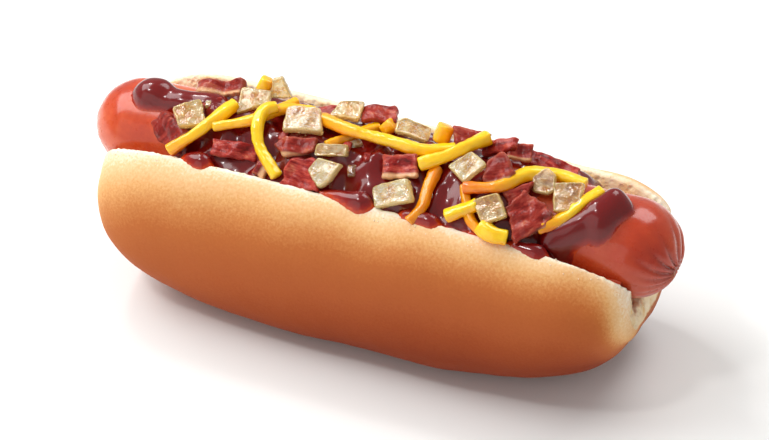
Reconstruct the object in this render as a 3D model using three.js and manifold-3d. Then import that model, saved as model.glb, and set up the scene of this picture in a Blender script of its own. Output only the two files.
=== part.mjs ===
// Hot dog: a soft bun cut lengthwise, a sausage in the cut, and a heap of sauce, bacon,
// fried onion and shredded cheese on top.
// Millimetres. X runs along the bun, Y from the low front half to the high back half, Z up.
// The bun's underside is at Z = 0 and its middle is at X = 0.
import * as THREE from 'three';
import { mergeVertices } from 'three/addons/utils/BufferGeometryUtils.js';
import Module from 'manifold-3d';

const wasm = await Module();
wasm.setup();

const gap = 0.3; // air kept between neighbouring pieces
const coarseSpare = 0.2; // more of it round the coarse copies that cut room for a piece

// Bun. Each cross-section is a rounded box, whose front and back have their own reach and height.
const bun = {
  length: 150,
  frontReach: 30,
  backReach: 30,
  frontHeight: 50.8,
  backHeight: 54.8,
  frontFall: 2.7, // drop of the front's upper side from the middle to the right end
  backFall: 1.6,
  waist: 21.6, // height of the widest line
  underside: 0.8, // how much of the round underside is pressed flat
  squareness: 2.8, // 2 is an ellipse, more is boxier
  endHeight: 32.8, // height that the ends close towards
  endTrim: 0.975, // where the last full section stands, as a share of half the length
  endBulge: [30, 60, 80], // where the rings stand on the quarter round past it, in degrees
  // How bluntly the ends close: 2 is round, more is blunter
  reachBlunt: { left: [5.8, 5], right: [5, 9.7] }, // of the front's and the back's reach
  heightBlunt: { left: [2.7, 7.2], right: [1.7, 5.9] }, // of the front's and the back's height
  cutAngle: 28.5, // lean of each cut face from upright, in degrees
  cutFloor: 2, // how far below the sausage the cut ends, in a flat floor between its two faces
  // Low swells along the back's upper side: where they stand, their rise and their spread
  swells: [
    { at: -56, rise: 1.2, spread: 8 },
    { at: 45, rise: -0.8, spread: 9 },
    { at: 62, rise: 0.8, spread: 6 },
  ],
  stations: 26,
  runSteps: 16,
};

// Sausage, lying in the cut and standing a little out of both ends of the bun
const sausage = {
  length: 165,
  radius: 12.8,
  height: 41.9, // of its axis at the middle
  sag: 0.4, // drop of both ends below the middle
  fall: 0.7, // further drop of the right end, and rise of the left one
  stations: 10,
  sides: 18,
  capSteps: 5, // rings over each half round
  capEdge: 88, // degrees round to the outermost one
};

// Onion dice, from the left. at: the middle. turn is about the piece's own face, tip is down to the
// right and lean is down to the front, in degrees. size: long, wide, thick. bow: rise of the middle.
const onions = [
  { at: [-49.5, -9.5, 55.5], lean: 30, tip: 10, turn: 36, size: [8.6, 8, 2.7], bow: 0.5 },
  { at: [-35, 0, 58.5], lean: 28, tip: 5, turn: 10, size: [9, 7.4, 2], bow: 0.4 },
  { at: [-30, 5, 61], lean: 72, tip: 10, turn: 30, size: [5.6, 6.2, 2.2], bow: 0.3 },
  { at: [-19, -4, 58.5], lean: 26, tip: 0, turn: 10, size: [10.4, 7, 2.5], bow: 0.5 },
  { at: [-9.5, 3, 59.5], lean: 22, tip: 5, turn: 12, size: [9, 6, 2], bow: 0.6 },
  { at: [-8.5, -9.5, 55.5], lean: 52, tip: 0, turn: 8, size: [8.6, 3.8, 2.3], bow: 0.3 },
  { at: [-8.5, -14.5, 51.5], lean: 46, tip: -10, turn: 57, size: [7.6, 7.8, 2.3], bow: 0.7 },
  { at: [11, -15.5, 51], lean: 46, tip: -12, turn: 24, size: [10.2, 6.4, 2.5], bow: 0.6 },
  { at: [8, 3, 58.5], lean: 32, tip: 20, turn: -6, size: [9.6, 4.6, 2.5], bow: 0.4 },
  { at: [27.5, -6.5, 58], lean: 40, tip: 0, turn: 52, size: [7.8, 6.4, 2.5], bow: 0.4 },
  { at: [36.5, -14, 52.5], lean: 46, tip: 0, turn: 33, size: [7, 7.4, 2.5], bow: 0.6 },
  { at: [47, -3.5, 56.5], lean: 44, tip: 0, turn: 15, size: [5.6, 7.4, 2.3], bow: 0.4 },
  { at: [53.5, -5.5, 55], lean: 36, tip: 0, turn: 14, size: [8, 7.2, 2.3], bow: 0.4 },
];

// Bacon pieces, in the same terms. wave: height of the crinkles, crinkles: how many along the piece.
const bacon = [
  { at: [-55, -12, 51], lean: 46, tip: -16, turn: 50, size: [12, 7.6, 2], wave: 0.7, crinkles: 1 },
  { at: [-51.5, -8, 52], lean: 40, tip: 0, turn: 20, size: [7, 4.5, 2], wave: 0.3, crinkles: 1 },
  { at: [-47, 3.5, 57.5], lean: 34, tip: 0, turn: 8, size: [14.4, 4.8, 2], wave: 0.9, crinkles: 1.6 },
  { at: [-46, -3, 55.5], lean: 24, tip: 8, turn: 30, size: [5.6, 4, 2.4], wave: 0.3, crinkles: 1 },
  { at: [-34.5, -13.5, 51.2], lean: 44, tip: 6, turn: 6, size: [12.5, 4.6, 2], wave: 0.5, crinkles: 1.4 },
  { at: [-18.5, -10, 54.5], lean: 42, tip: 0, turn: 10, size: [11.6, 5.2, 2.4], wave: 0.6, crinkles: 1.5 },
  { at: [-14.5, -15.5, 50.5], lean: 50, tip: 0, turn: 0, size: [9.4, 8.4, 2], wave: 0.6, crinkles: 1 },
  { at: [-15, 2.5, 57.5], lean: 20, tip: 0, turn: 20, size: [6.4, 5, 2], wave: 0.4, crinkles: 1 },
  { at: [-1.5, 5, 59.5], lean: 26, tip: 0, turn: 8, size: [9.6, 5.6, 2.2], wave: 0.6, crinkles: 1.3 },
  { at: [10.5, -9.5, 55.5], lean: 46, tip: 0, turn: 14, size: [9.4, 6.4, 2.2], wave: 0.4, crinkles: 1 },
  { at: [23.5, 4, 59.5], lean: 42, tip: 6, turn: 0, size: [9.4, 5.4, 2.2], wave: 0.4, crinkles: 1 },
  { at: [32, 3.5, 59], lean: 44, tip: -28, turn: 14, size: [10.6, 3.8, 2.4], wave: 0.4, crinkles: 1 },
  { at: [37.5, 3.5, 59], lean: 40, tip: 18, turn: 10, size: [6.4, 4.6, 2.2], wave: 0.3, crinkles: 1 },
  { at: [35.5, -5.5, 58.5], lean: 40, tip: 0, turn: 26, size: [8.2, 7.4, 2.2], wave: 0.5, crinkles: 1 },
  { at: [45, 6, 55.5], lean: 20, tip: 10, turn: -4, size: [15, 4.4, 2], wave: 0.4, crinkles: 1.6 },
  { at: [46, -12.5, 52.2], lean: 46, tip: 6, turn: 52, size: [12, 9.2, 2.2], wave: 0.6, crinkles: 1 },
  { at: [41.5, -8, 54.4], lean: 44, tip: 0, turn: 34, size: [7.6, 5.4, 2], wave: 0.3, crinkles: 1 },
  { at: [-25.5, -16, 49.3], lean: 46, tip: 4, turn: 70, size: [4.6, 3.6, 2.4], wave: 0.3, crinkles: 1 },
];

// Cheese shreds. through: the bends of the shred's middle line. width: across its section.
const cheese = [
  { width: 3.2, through: [[-52, -17.5, 49], [-47, -14.5, 52.6], [-42.5, -9.3, 56.2], [-39, -3, 58.4]] },
  { width: 2.8, through: [[-42, -11, 55], [-32, -6.5, 57.2], [-25.5, -1.5, 59.2], [-17.5, 0, 59.2]] },
  {
    width: 3,
    through: [
      [-27, -3, 60.4], [-29.4, -5.2, 60], [-29.8, -8.6, 58.4], [-28, -12.6, 54.6], [-20.6, -17.6, 49.2],
    ],
  },
  { width: 3.7, through: [[-35, 4, 58.8], [-33.6, 5.4, 62.6]] },
  { width: 2.9, through: [[-28, -1.8, 57.8], [-24, 3.4, 59]] },
  {
    width: 3.3,
    through: [
      [-15.5, -1, 58.6], [-7.5, -3.4, 58.8], [5.5, -3.8, 58.4], [14, -3.6, 57.8], [21.5, 0.5, 57.6],
    ],
  },
  { width: 3.5, through: [[14.8, -8, 56.4], [20.4, -5.2, 58.4], [25, -1, 60.2], [29, 4, 61]] },
  { width: 2.7, through: [[-11, -8, 55.4], [-6, -2.6, 56.4], [-0.5, 3, 57.4]] },
  { width: 3.7, through: [[1.2, 1.5, 57], [3.6, 2.6, 59.6]] },
  { width: 2.8, through: [[19.2, -6.4, 55.6], [19, -12, 53], [19, -16.2, 49.8], [16.8, -19.8, 47]] },
  { width: 3.3, through: [[25.6, -17.2, 49.4], [32.8, -13.4, 52.6]] },
  { width: 2.3, through: [[27.4, -9.2, 54.2], [29.6, -12.8, 51.8], [32, -16, 49.2], [35.4, -18, 47.8]] },
  { width: 4.1, through: [[35, -17.2, 49.2], [38.5, -18.4, 48.4], [42.4, -17.8, 48]] },
  {
    width: 3.3,
    through: [
      [27.8, -10.6, 54.4], [36.5, -8.6, 56], [42, -3, 57.6], [48.5, 0, 57.2], [56.5, -0.4, 56.4],
    ],
  },
  { width: 3.2, through: [[48.5, -13.6, 49.6], [54, -9.6, 51.8], [57.4, -5.6, 54.6], [61, -1, 56.4]] },
  { width: 4.1, through: [[16.2, 2.6, 57], [17.4, 4.6, 61.4]] },
];

// Sauce, a long mound that fills the room between the rims, with thick strokes at its ends and
// over the front rim. The mound's section is a parabola, and its ends slope down.
const mound = {
  height: 56.4, // at its middle
  curve: 0.031, // fall to front and back, times y squared
  slope: 0.012, // fall to the right, times x
  middle: -2,
  endStart: 44, // distance from the middle where the ends start to slope down
  endStop: 66,
  endSkew: 0.5, // how much sooner they do so towards the front, per length across
  endFall: 9,
};

// Each stroke follows [x, y] points, and its section is a round back of the given half width and
// height.
const sauceStrokes = [
  { halfWidth: 4.6, height: 3.4, path: [[-65, -1.5], [-57, -3], [-47, -1]] },
  { halfWidth: 5, height: 4.4, path: [[63.5, -2.5], [59.5, -8], [51, -13]] },
  { halfWidth: 3.4, height: 2.4, path: [[-46, -16], [-41.5, -17.4]] },
  { halfWidth: 4.2, height: 2.6, path: [[-7, -15], [3.5, -17]] },
  { halfWidth: 3.4, height: 2.6, path: [[16, -16.5], [22, -17.5]] },
  { halfWidth: 3.4, height: 2.6, path: [[44, -15.5], [50, -16.5]] },
];

const sauceDepth = 4; // how far the sheet of sauce reaches down before the rest is cut from it
const sauceSkirt = 1; // thickness of that sheet outside the strokes, all of it cut away
const sauceArea = { left: -70, right: 69, front: -22.5, back: 19.5, stepAlong: 3.8, stepAcross: 2.4 };

// Unevenness of the cut pieces, as shares of their half sizes
const onionCut = { taper: 0.16, skew: 0.2, cornerSoft: 0.1, edgeSoft: 0.08 };
const baconCut = { taper: 0.2, cornerSoft: 0.12, ragged: 0.06, crossCrinkle: 0.3 };
const shred = { sides: 6, flatness: 0.85, step: 2.6, coarseStep: 4 };

// Looks
const finish = {
  bun: new THREE.MeshStandardMaterial({ color: 0xd9935a, roughness: 0.75, metalness: 0 }),
  sausage: new THREE.MeshStandardMaterial({ color: 0xc4502f, roughness: 0.3, metalness: 0 }),
  sauce: new THREE.MeshStandardMaterial({ color: 0x5c1210, roughness: 0.12, metalness: 0 }),
  onion: new THREE.MeshStandardMaterial({ color: 0xe6d3a3, roughness: 0.25, metalness: 0 }),
  bacon: new THREE.MeshStandardMaterial({ color: 0x93282c, roughness: 0.35, metalness: 0 }),
  cheese: new THREE.MeshStandardMaterial({ color: 0xf7b50c, roughness: 0.35, metalness: 0 }),
};

const radians = THREE.MathUtils.degToRad;
const { clamp, lerp, smoothstep } = THREE.MathUtils;

// Height of the sausage's axis at x
function axisHeight(x) {
  const k = (2 * x) / bun.length;
  return sausage.height - sausage.sag * k * k - sausage.fall * k;
}

// Height of the cut at a distance |y| from the middle plane: its two leaning faces, which would meet
// at y = 0, and the flat floor that ends them
function cutHeight(x, y, grow = 0) {
  const angle = radians(bun.cutAngle);
  const hinge = axisHeight(x) - (sausage.radius + gap - grow) / Math.sin(angle);
  const floor = axisHeight(x) - sausage.radius - bun.cutFloor + grow;
  return Math.max(hinge + Math.abs(y) / Math.tan(angle), floor);
}

// A power curve that is 1 at the middle of the bun and 0 at its end
function closing(k, blunt) {
  return Math.pow(1 - Math.pow(Math.abs(k), blunt), 1 / blunt);
}

// Point of the bun's skin at the share k of its half length. angle 0 is the back, 90 the top.
function skinPoint(k, degrees, grow = 0) {
  const c = Math.cos(radians(degrees));
  const s = Math.sin(radians(degrees));
  const backShare = (1 + c) / 2;
  const end = k < 0 ? 'left' : 'right';
  const blunt = ({ [end]: [front, back] }) => lerp(front, back, backShare);
  const reach = (c > 0 ? bun.backReach : bun.frontReach) + grow;
  const frontTop = bun.frontHeight - bun.frontFall * k;
  const swell = bun.swells.reduce((sum, { at, rise: high, spread }) => (
    sum + high * Math.exp(-(((k * bun.length) / 2 - at) ** 2) / spread ** 2)
  ), 0);
  const backTop = bun.backHeight - bun.backFall * k + swell;
  const top = lerp(frontTop, backTop, backShare) + grow;
  const power = 2 / bun.squareness;
  const rise = s > 0 ? top - bun.waist : bun.waist + bun.underside + grow;
  const y = reach * Math.sign(c) * Math.pow(Math.abs(c), power);
  const z = bun.waist + rise * Math.sign(s) * Math.pow(Math.abs(s), power);
  const height = bun.endHeight + (z - bun.endHeight) * closing(k, blunt(bun.heightBlunt));
  return [y * closing(k, blunt(bun.reachBlunt)), Math.max(height, -grow)];
}

// Angle at which the skin meets the cut face, by halving. from is inside the cut, to outside.
function rimAngle(k, from, to, grow = 0) {
  const x = (k * bun.length) / 2;
  let inside = from;
  let outside = to;
  for (let step = 0; step < 24; step += 1) {
    const middle = (inside + outside) / 2;
    const [y, z] = skinPoint(k, middle, grow);
    if (z > cutHeight(x, y, grow)) inside = middle;
    else outside = middle;
  }
  return outside;
}

// One closed surface through rings of [x, y, z] points. Where points j and fold - j of a ring lie
// opposite each other, the first and last ring are closed by strips between them, else by a fan.
function loft(rings, fold = null) {
  const count = rings[0].length;
  const positions = rings.flat(2);
  const indices = [];
  for (let i = 0; i < rings.length - 1; i += 1) {
    for (let j = 0; j < count; j += 1) {
      const a = i * count + j;
      const b = i * count + ((j + 1) % count);
      indices.push(a, b, a + count, b, b + count, a + count);
    }
  }
  const closeEnd = (end, corners) => {
    if (new Set(corners).size < 3) return;
    const [a, b, c] = corners.map((j) => end * count + j);
    if (end === 0) indices.push(a, c, b);
    else indices.push(a, b, c);
  };
  [0, rings.length - 1].forEach((end) => {
    if (fold !== null) {
      for (let j = 0; j < count / 2; j += 1) {
        const [a, b] = [(fold - j + count) % count, (fold - j - 1 + count) % count];
        closeEnd(end, [j, j + 1, b]);
        closeEnd(end, [j, b, a]);
      }
      return;
    }
    const hub = positions.length / 3;
    const middle = [0, 1, 2].map((axis) => rings[end].reduce((sum, point) => sum + point[axis], 0) / count);
    positions.push(...middle);
    for (let j = 0; j < count; j += 1) closeEnd(end, [hub - end * count, j, (j + 1) % count]);
  });
  const geometry = new THREE.BufferGeometry();
  geometry.setAttribute('position', new THREE.Float32BufferAttribute(positions, 3));
  geometry.setIndex(indices);
  return geometry;
}

function toSolid(geometry) {
  const bare = geometry.clone();
  bare.deleteAttribute('normal');
  bare.deleteAttribute('uv');
  const merged = mergeVertices(bare, 1e-5);
  const mesh = new wasm.Mesh({
    numProp: 3,
    vertProperties: new Float32Array(merged.attributes.position.array),
    triVerts: new Uint32Array(merged.index.array),
  });
  mesh.merge();
  return new wasm.Manifold(mesh);
}

function toGeometry(solid) {
  const { vertProperties, triVerts, numProp } = solid.getMesh();
  const geometry = new THREE.BufferGeometry();
  const positions = [];
  for (let i = 0; i < vertProperties.length; i += numProp) {
    positions.push(vertProperties[i], vertProperties[i + 1], vertProperties[i + 2]);
  }
  geometry.setAttribute('position', new THREE.Float32BufferAttribute(positions, 3));
  geometry.setIndex(Array.from(triVerts));
  geometry.computeVertexNormals();
  return geometry;
}

// Bun section at k: the skin from the front rim under the bun to the back rim, and the cut from rim
// to rim. The two runs have the same number of points.
function bunSection(k, grow) {
  const x = (k * bun.length) / 2;
  const front = rimAngle(k, 90, 180, grow);
  const back = 360 + rimAngle(k, 90, 0, grow);
  const skin = [];
  const cut = [];
  const [frontRim] = skinPoint(k, front, grow);
  const [backRim] = skinPoint(k, back, grow);
  for (let j = 0; j <= bun.runSteps; j += 1) {
    const share = j / bun.runSteps;
    const [y, z] = skinPoint(k, lerp(front, back, share), grow);
    skin.push([x, y, z]);
    const half = Math.abs(2 * share - 1);
    const across = (share < 0.5 ? frontRim : backRim) * half;
    cut.push([x, across, cutHeight(x, across, grow)]);
  }
  return { skin, cut };
}

function bunGeometry(grow = 0) {
  const rings = [];
  const ring = ({ skin, cut }) => [...skin, ...cut.slice(1, -1).reverse()];
  for (let i = 0; i <= bun.stations; i += 1) {
    const k = bun.endTrim * Math.sin(radians(lerp(-90, 90, i / bun.stations)));
    rings.push(ring(bunSection(k, grow)));
  }
  // Each end bulges out over the last bit of length, closing on the line midway between skin and cut
  // and reaching less far towards the rims
  const bulge = ((1 - bun.endTrim) * bun.length) / 2;
  const bulgeRing = (end, degrees) => {
    const { skin, cut } = bunSection(end * bun.endTrim, grow);
    const shrink = (points, others) => points.map((point, j) => {
      const middle = point.map((value, axis) => (value + others[j][axis]) / 2);
      const pulled = point.map((value, axis) => lerp(middle[axis], value, Math.cos(radians(degrees))));
      const reach = bulge * Math.sqrt(Math.sin((Math.PI * j) / bun.runSteps)) + grow;
      pulled[0] += end * reach * Math.sin(radians(degrees));
      return pulled;
    });
    return ring({ skin: shrink(skin, cut), cut: shrink(cut, skin) });
  };
  bun.endBulge.forEach((degrees) => {
    rings.unshift(bulgeRing(-1, degrees));
    rings.push(bulgeRing(1, degrees));
  });
  return loft(rings, 0);
}

// Sausage: rings round its axis, which close in half rounds at both ends
function sausageGeometry(grow = 0) {
  const { stations, sides, capSteps, capEdge } = sausage;
  const radius = sausage.radius + grow;
  const straight = sausage.length / 2 - sausage.radius;
  const rings = [];
  const addRing = (x, size) => {
    const height = axisHeight(x);
    rings.push(Array.from({ length: sides }, (_, j) => {
      const angle = radians((360 * j) / sides);
      return [x, size * Math.cos(angle), height + size * Math.sin(angle)];
    }));
  };
  const capAngle = (step) => radians(capEdge * (1 - step / capSteps));
  for (let i = 0; i < capSteps; i += 1) {
    addRing(-straight - radius * Math.sin(capAngle(i)), radius * Math.cos(capAngle(i)));
  }
  for (let i = 0; i <= stations; i += 1) addRing(lerp(-straight, straight, i / stations), radius);
  for (let i = capSteps - 1; i >= 0; i -= 1) {
    addRing(straight + radius * Math.sin(capAngle(i)), radius * Math.cos(capAngle(i)));
  }
  return loft(rings);
}

// Top of the bare bun and sausage at (x, y). The skin's angle there is found by halving.
function bareTop(x, y) {
  const k = clamp((2 * x) / bun.length, -bun.endTrim, bun.endTrim);
  let outer = y > 0 ? 0 : 180;
  let inner = 90;
  for (let step = 0; step < 16; step += 1) {
    const middle = (outer + inner) / 2;
    if (Math.abs(skinPoint(k, middle)[0]) > Math.abs(y)) outer = middle;
    else inner = middle;
  }
  const skin = skinPoint(k, outer)[1];
  const straight = sausage.length / 2 - sausage.radius;
  const past = Math.max(Math.abs(x) - straight, 0);
  const off = Math.min(Math.hypot(past, y), sausage.radius);
  const round = axisHeight(x) + Math.sqrt(sausage.radius ** 2 - off ** 2);
  return Math.max(Math.min(cutHeight(x, y), skin), round);
}

function moundTop(x, y) {
  const along = Math.abs(x - mound.middle) - mound.endSkew * y;
  const end = smoothstep(along, mound.endStart, mound.endStop);
  return mound.height - mound.curve * y * y - mound.slope * x - mound.endFall * end;
}

// Height of the strokes above what they lie on: the highest of their round backs at (x, y)
function strokeHeight(x, y) {
  const point = new THREE.Vector3(x, y, 0);
  const nearest = new THREE.Vector3();
  let height = -sauceDepth;
  sauceStrokes.forEach((stroke) => {
    for (let i = 0; i < stroke.path.length - 1; i += 1) {
      const start = new THREE.Vector3(...stroke.path[i], 0);
      const end = new THREE.Vector3(...stroke.path[i + 1], 0);
      new THREE.Line3(start, end).closestPointToPoint(point, true, nearest);
      const off = nearest.distanceTo(point) / stroke.halfWidth;
      height = Math.max(height, stroke.height * (1 - off * off));
    }
  });
  return height;
}

// Sauce: a thick sheet over the bare top, whose upper side follows the mound and the strokes and
// dips under the bare top outside them
function sauceGeometry() {
  const { left, right, front, back, stepAlong, stepAcross } = sauceArea;
  const columns = Math.round((right - left) / stepAlong);
  const rows = Math.round((back - front) / stepAcross);
  const rings = [];
  for (let i = 0; i <= columns; i += 1) {
    const x = lerp(left, right, i / columns);
    const upper = [];
    const lower = [];
    for (let j = 0; j <= rows; j += 1) {
      const y = lerp(front, back, j / rows);
      const base = bareTop(x, y);
      const top = Math.max(moundTop(x, y), base + strokeHeight(x, y), base + sauceSkirt - sauceDepth);
      upper.push([x, y, top]);
      lower.push([x, y, base - sauceDepth]);
    }
    rings.push([...lower, ...upper.reverse()]);
  }
  return loft(rings, 2 * rows + 1);
}

// Matrix that stands a piece at its place
function placement({ at, lean, tip, turn }) {
  return new THREE.Matrix4()
    .makeTranslation(...at)
    .multiply(new THREE.Matrix4().makeRotationX(radians(lean)))
    .multiply(new THREE.Matrix4().makeRotationY(radians(tip)))
    .multiply(new THREE.Matrix4().makeRotationZ(radians(turn)));
}

// A box whose points are moved by shape, then stood at its place. The grown copy that cuts room
// for a piece has fewer facets and stands off a little more to clear the true one.
function shapedBox(piece, segments, grow, shape) {
  const spare = grow > 0 ? grow + coarseSpare : 0;
  const [long, wide, thick] = piece.size.map((value) => value + 2 * spare);
  const geometry = new THREE.BoxGeometry(long, wide, thick, ...segments);
  const position = geometry.attributes.position;
  for (let i = 0; i < position.count; i += 1) {
    const u = (2 * position.getX(i)) / long;
    const v = (2 * position.getY(i)) / wide;
    const w = (2 * position.getZ(i)) / thick;
    position.setXYZ(i, ...shape(u, v, w, [long, wide, thick].map((value) => value / 2)));
  }
  return geometry.applyMatrix4(placement(piece));
}

// The plain box of room that a piece takes in the sauce, with its curves inside it
function roomGeometry(piece) {
  const [long, wide, thick] = piece.size;
  const rise = piece.bow ?? (1 + baconCut.crossCrinkle) * piece.wave;
  const room = [(1 + onionCut.taper) * long, (1 + onionCut.skew) * wide, thick + 2 * rise];
  const geometry = new THREE.BoxGeometry(...room.map((value) => value + 2 * gap));
  return geometry.applyMatrix4(placement(piece));
}

// Onion: a square cut from a curved layer, with soft corners and no two alike
function onionGeometry(piece, index, grow = 0) {
  const taper = onionCut.taper * Math.sin(index * 2.4);
  const skew = onionCut.skew * Math.sin(index * 1.7 + 1);
  return shapedBox(piece, grow > 0 ? [2, 2, 1] : [3, 3, 1], grow, (u, v, w, [long, wide, thick]) => {
    const soft = 1 - onionCut.cornerSoft * Math.abs(u * v) ** 3 - onionCut.edgeSoft * w * w;
    const x = long * u * soft * (1 + taper * v);
    const y = wide * v * soft + long * skew * u;
    return [x, y, thick * w + piece.bow * (1 - u * u)];
  });
}

// Bacon: a thin slice with crinkles across it and uneven cut edges
function baconGeometry(piece, index, grow = 0) {
  const phase = index * 1.9;
  const taper = baconCut.taper * Math.sin(index * 2.1 + 0.5);
  return shapedBox(piece, [5, 2, 1], grow, (u, v, w, [long, wide, thick]) => {
    const soft = 1 - baconCut.cornerSoft * Math.abs(u * v) ** 3;
    const x = long * (u * soft + baconCut.ragged * Math.sin(5 * v + phase));
    const y = wide * v * soft * (1 + taper * u + baconCut.ragged * Math.sin(4 * u + phase));
    const across = baconCut.crossCrinkle * Math.sin(3 * v + phase);
    const crinkle = Math.sin(Math.PI * piece.crinkles * u + phase) + across;
    return [x, y, thick * w + piece.wave * crinkle];
  });
}

// Cheese: a shred with a rounded section along a smooth curve
function cheeseGeometry({ width, through }, grow = 0) {
  const points = through.map((point) => new THREE.Vector3(...point));
  if (grow > 0) {
    const reachPast = (end, next) => end.add(end.clone().sub(next).setLength(grow));
    reachPast(points[0], points[1]);
    reachPast(points[points.length - 1], points[points.length - 2]);
  }
  const curve = new THREE.CatmullRomCurve3(points, false, 'centripetal');
  const section = new THREE.Shape();
  for (let j = 0; j < shred.sides; j += 1) {
    const angle = radians((360 * j) / shred.sides);
    const reach = width / 2 + (grow > 0 ? grow + coarseSpare : 0);
    const corner = [reach * Math.cos(angle), shred.flatness * reach * Math.sin(angle)];
    if (j === 0) section.moveTo(...corner);
    else section.lineTo(...corner);
  }
  section.closePath();
  const step = grow > 0 ? shred.coarseStep : shred.step;
  const steps = Math.max(2, Math.round(curve.getLength() / step));
  return new THREE.ExtrudeGeometry(section, { extrudePath: curve, steps, bevelEnabled: false });
}

// The heap, from its top down: each piece is whole where it lies over the later ones
const onionPieces = onions.map((piece, i) => ({
  name: `onion_${i + 1}`,
  material: finish.onion,
  make: (grow) => onionGeometry(piece, i, grow),
  room: () => roomGeometry(piece),
}));
const baconPieces = bacon.map((piece, i) => ({
  name: `bacon_${i + 1}`,
  material: finish.bacon,
  make: (grow) => baconGeometry(piece, i, grow),
  room: () => roomGeometry(piece),
}));
const cheesePieces = cheese.map((piece, i) => ({
  name: `cheese_${i + 1}`,
  material: finish.cheese,
  make: (grow) => cheeseGeometry(piece, grow),
  room: () => cheeseGeometry(piece, gap),
}));
const heap = [...cheesePieces, ...onionPieces, ...baconPieces];

const bunSolid = toSolid(bunGeometry());
const sausageSolid = toSolid(sausageGeometry());
let taken = toSolid(bunGeometry(gap)).add(toSolid(sausageGeometry(gap)));
let takenFromSauce = taken;

const group = new THREE.Group();

function addNode(name, solid, material) {
  const mesh = new THREE.Mesh(toGeometry(solid), material);
  mesh.name = name;
  group.add(mesh);
}

function largestBody(solid) {
  return solid.decompose().reduce((best, body) => (body.volume() > best.volume() ? body : best));
}

addNode('bun', bunSolid, finish.bun);
addNode('sausage', sausageSolid, finish.sausage);
heap.forEach(({ name, material, make, room }) => {
  addNode(name, largestBody(toSolid(make(0)).subtract(taken)), material);
  taken = taken.add(toSolid(make(gap)));
  takenFromSauce = takenFromSauce.add(toSolid(room()));
});
const sauceSolid = toSolid(sauceGeometry()).subtract(takenFromSauce).simplify(gap / 2);
addNode('sauce', largestBody(sauceSolid), finish.sauce);

export default group;
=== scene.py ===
import bpy
import numpy as np
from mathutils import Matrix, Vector


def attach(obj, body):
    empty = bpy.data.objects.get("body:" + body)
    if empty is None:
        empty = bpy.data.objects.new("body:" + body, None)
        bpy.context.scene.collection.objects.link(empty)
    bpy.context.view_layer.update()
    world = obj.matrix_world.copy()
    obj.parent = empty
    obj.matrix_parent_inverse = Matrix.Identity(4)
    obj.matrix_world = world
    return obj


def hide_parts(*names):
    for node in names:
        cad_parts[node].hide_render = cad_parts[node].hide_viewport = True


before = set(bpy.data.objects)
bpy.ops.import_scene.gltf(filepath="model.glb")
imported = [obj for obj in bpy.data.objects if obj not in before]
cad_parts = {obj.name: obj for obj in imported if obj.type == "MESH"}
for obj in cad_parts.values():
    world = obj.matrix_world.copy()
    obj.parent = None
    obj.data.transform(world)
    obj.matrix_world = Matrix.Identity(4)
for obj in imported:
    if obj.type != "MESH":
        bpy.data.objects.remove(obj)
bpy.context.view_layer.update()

# A hot dog. Lengths are in millimetres until a mesh is made; x runs along the bun,
# y from its low front half to its high back half, z up.
mm = 0.001
fullTurn = 6.28  # radians, near enough for a random phase


# Small helpers

def tint(red, green, blue):
    # 0-255 screen colour to the linear colour that shaders use
    c = np.array([red, green, blue]) / 255
    return tuple(np.where(c <= 0.04045, c / 12.92, ((c + 0.055) / 1.055) ** 2.4)) + (1.0,)


def mix(a, b, share):
    # On the way from a to b: a where share is 0, b where it is 1
    return a + (b - a) * share


def ease(value, start, end):
    # 0 up to start, 1 from end on, with a soft turn at both
    t = np.clip((value - start) / (end - start), 0, 1)
    return t * t * (3 - 2 * t)


def relief(points, size, seed):
    # Uneven ground: the sum of plain waves about size long that run in random directions,
    # scaled to stay mostly between -1 and 1
    waves = 26
    draw = np.random.default_rng(seed)
    ways = draw.normal(size=(waves, points.shape[-1]))
    ways /= np.linalg.norm(ways, axis=1, keepdims=True)
    ways *= (2 * np.pi / (size * draw.uniform(0.7, 1.5, waves)))[:, None]
    return np.cos(points @ ways.T + draw.uniform(0, fullTurn, waves)).sum(-1) / np.sqrt(waves)


def layers(points, *depths):
    # Relief in layers, each with its depth, the size of its bumps and its seed
    return sum(depth * relief(points, size, seed) for depth, size, seed in depths)


def boxSection(angle, power):
    # Distance from the middle of a rounded square to its outline; a higher power is squarer
    return 1 / (np.abs(np.cos(angle)) ** power + np.abs(np.sin(angle)) ** power) ** (1 / power)


def gridNormals(rings):
    # Across each point: the step to the next ring crossed with the step round the ring
    along = np.gradient(rings, axis=0)
    around = np.roll(rings, -1, 1) - np.roll(rings, 1, 1)
    n = np.cross(along, around)
    return n / np.maximum(np.linalg.norm(n, axis=2, keepdims=True), 1e-9)


def makePiece(name, points, faces, nodes, material, notes):
    # Turns points and faces, in millimetres, into a smooth object that rides on the root. Notes
    # are numbers or vectors at each point, for the material.
    faces = [np.asarray(f) for f in faces if len(f)]
    corners = [points[f] for f in faces]
    fans = [(c[:, 0], c[:, i], c[:, i + 1]) for c in corners for i in range(1, c.shape[1] - 1)]
    if sum((a * np.cross(b, c)).sum() for a, b, c in fans) < 0:  # inside out
        faces = [f[:, ::-1] for f in faces]
    mesh = bpy.data.meshes.new(name)
    mesh.from_pydata((points * mm).tolist(), [], [f for group in faces for f in group.tolist()])
    mesh.update()
    mesh.polygons.foreach_set("use_smooth", np.ones(len(mesh.polygons), bool))
    for label, values in notes.items():
        values = np.asarray(values, np.float32)
        kind, field = ("FLOAT_VECTOR", "vector") if values.ndim == 2 else ("FLOAT", "value")
        mesh.attributes.new(label, kind, "POINT").data.foreach_set(field, values.ravel())
    mesh.materials.append(material)
    piece = bpy.data.objects.new(name, mesh)
    bpy.context.scene.collection.objects.link(piece)
    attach(piece, "root")
    if nodes:
        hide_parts(*nodes)


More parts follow.
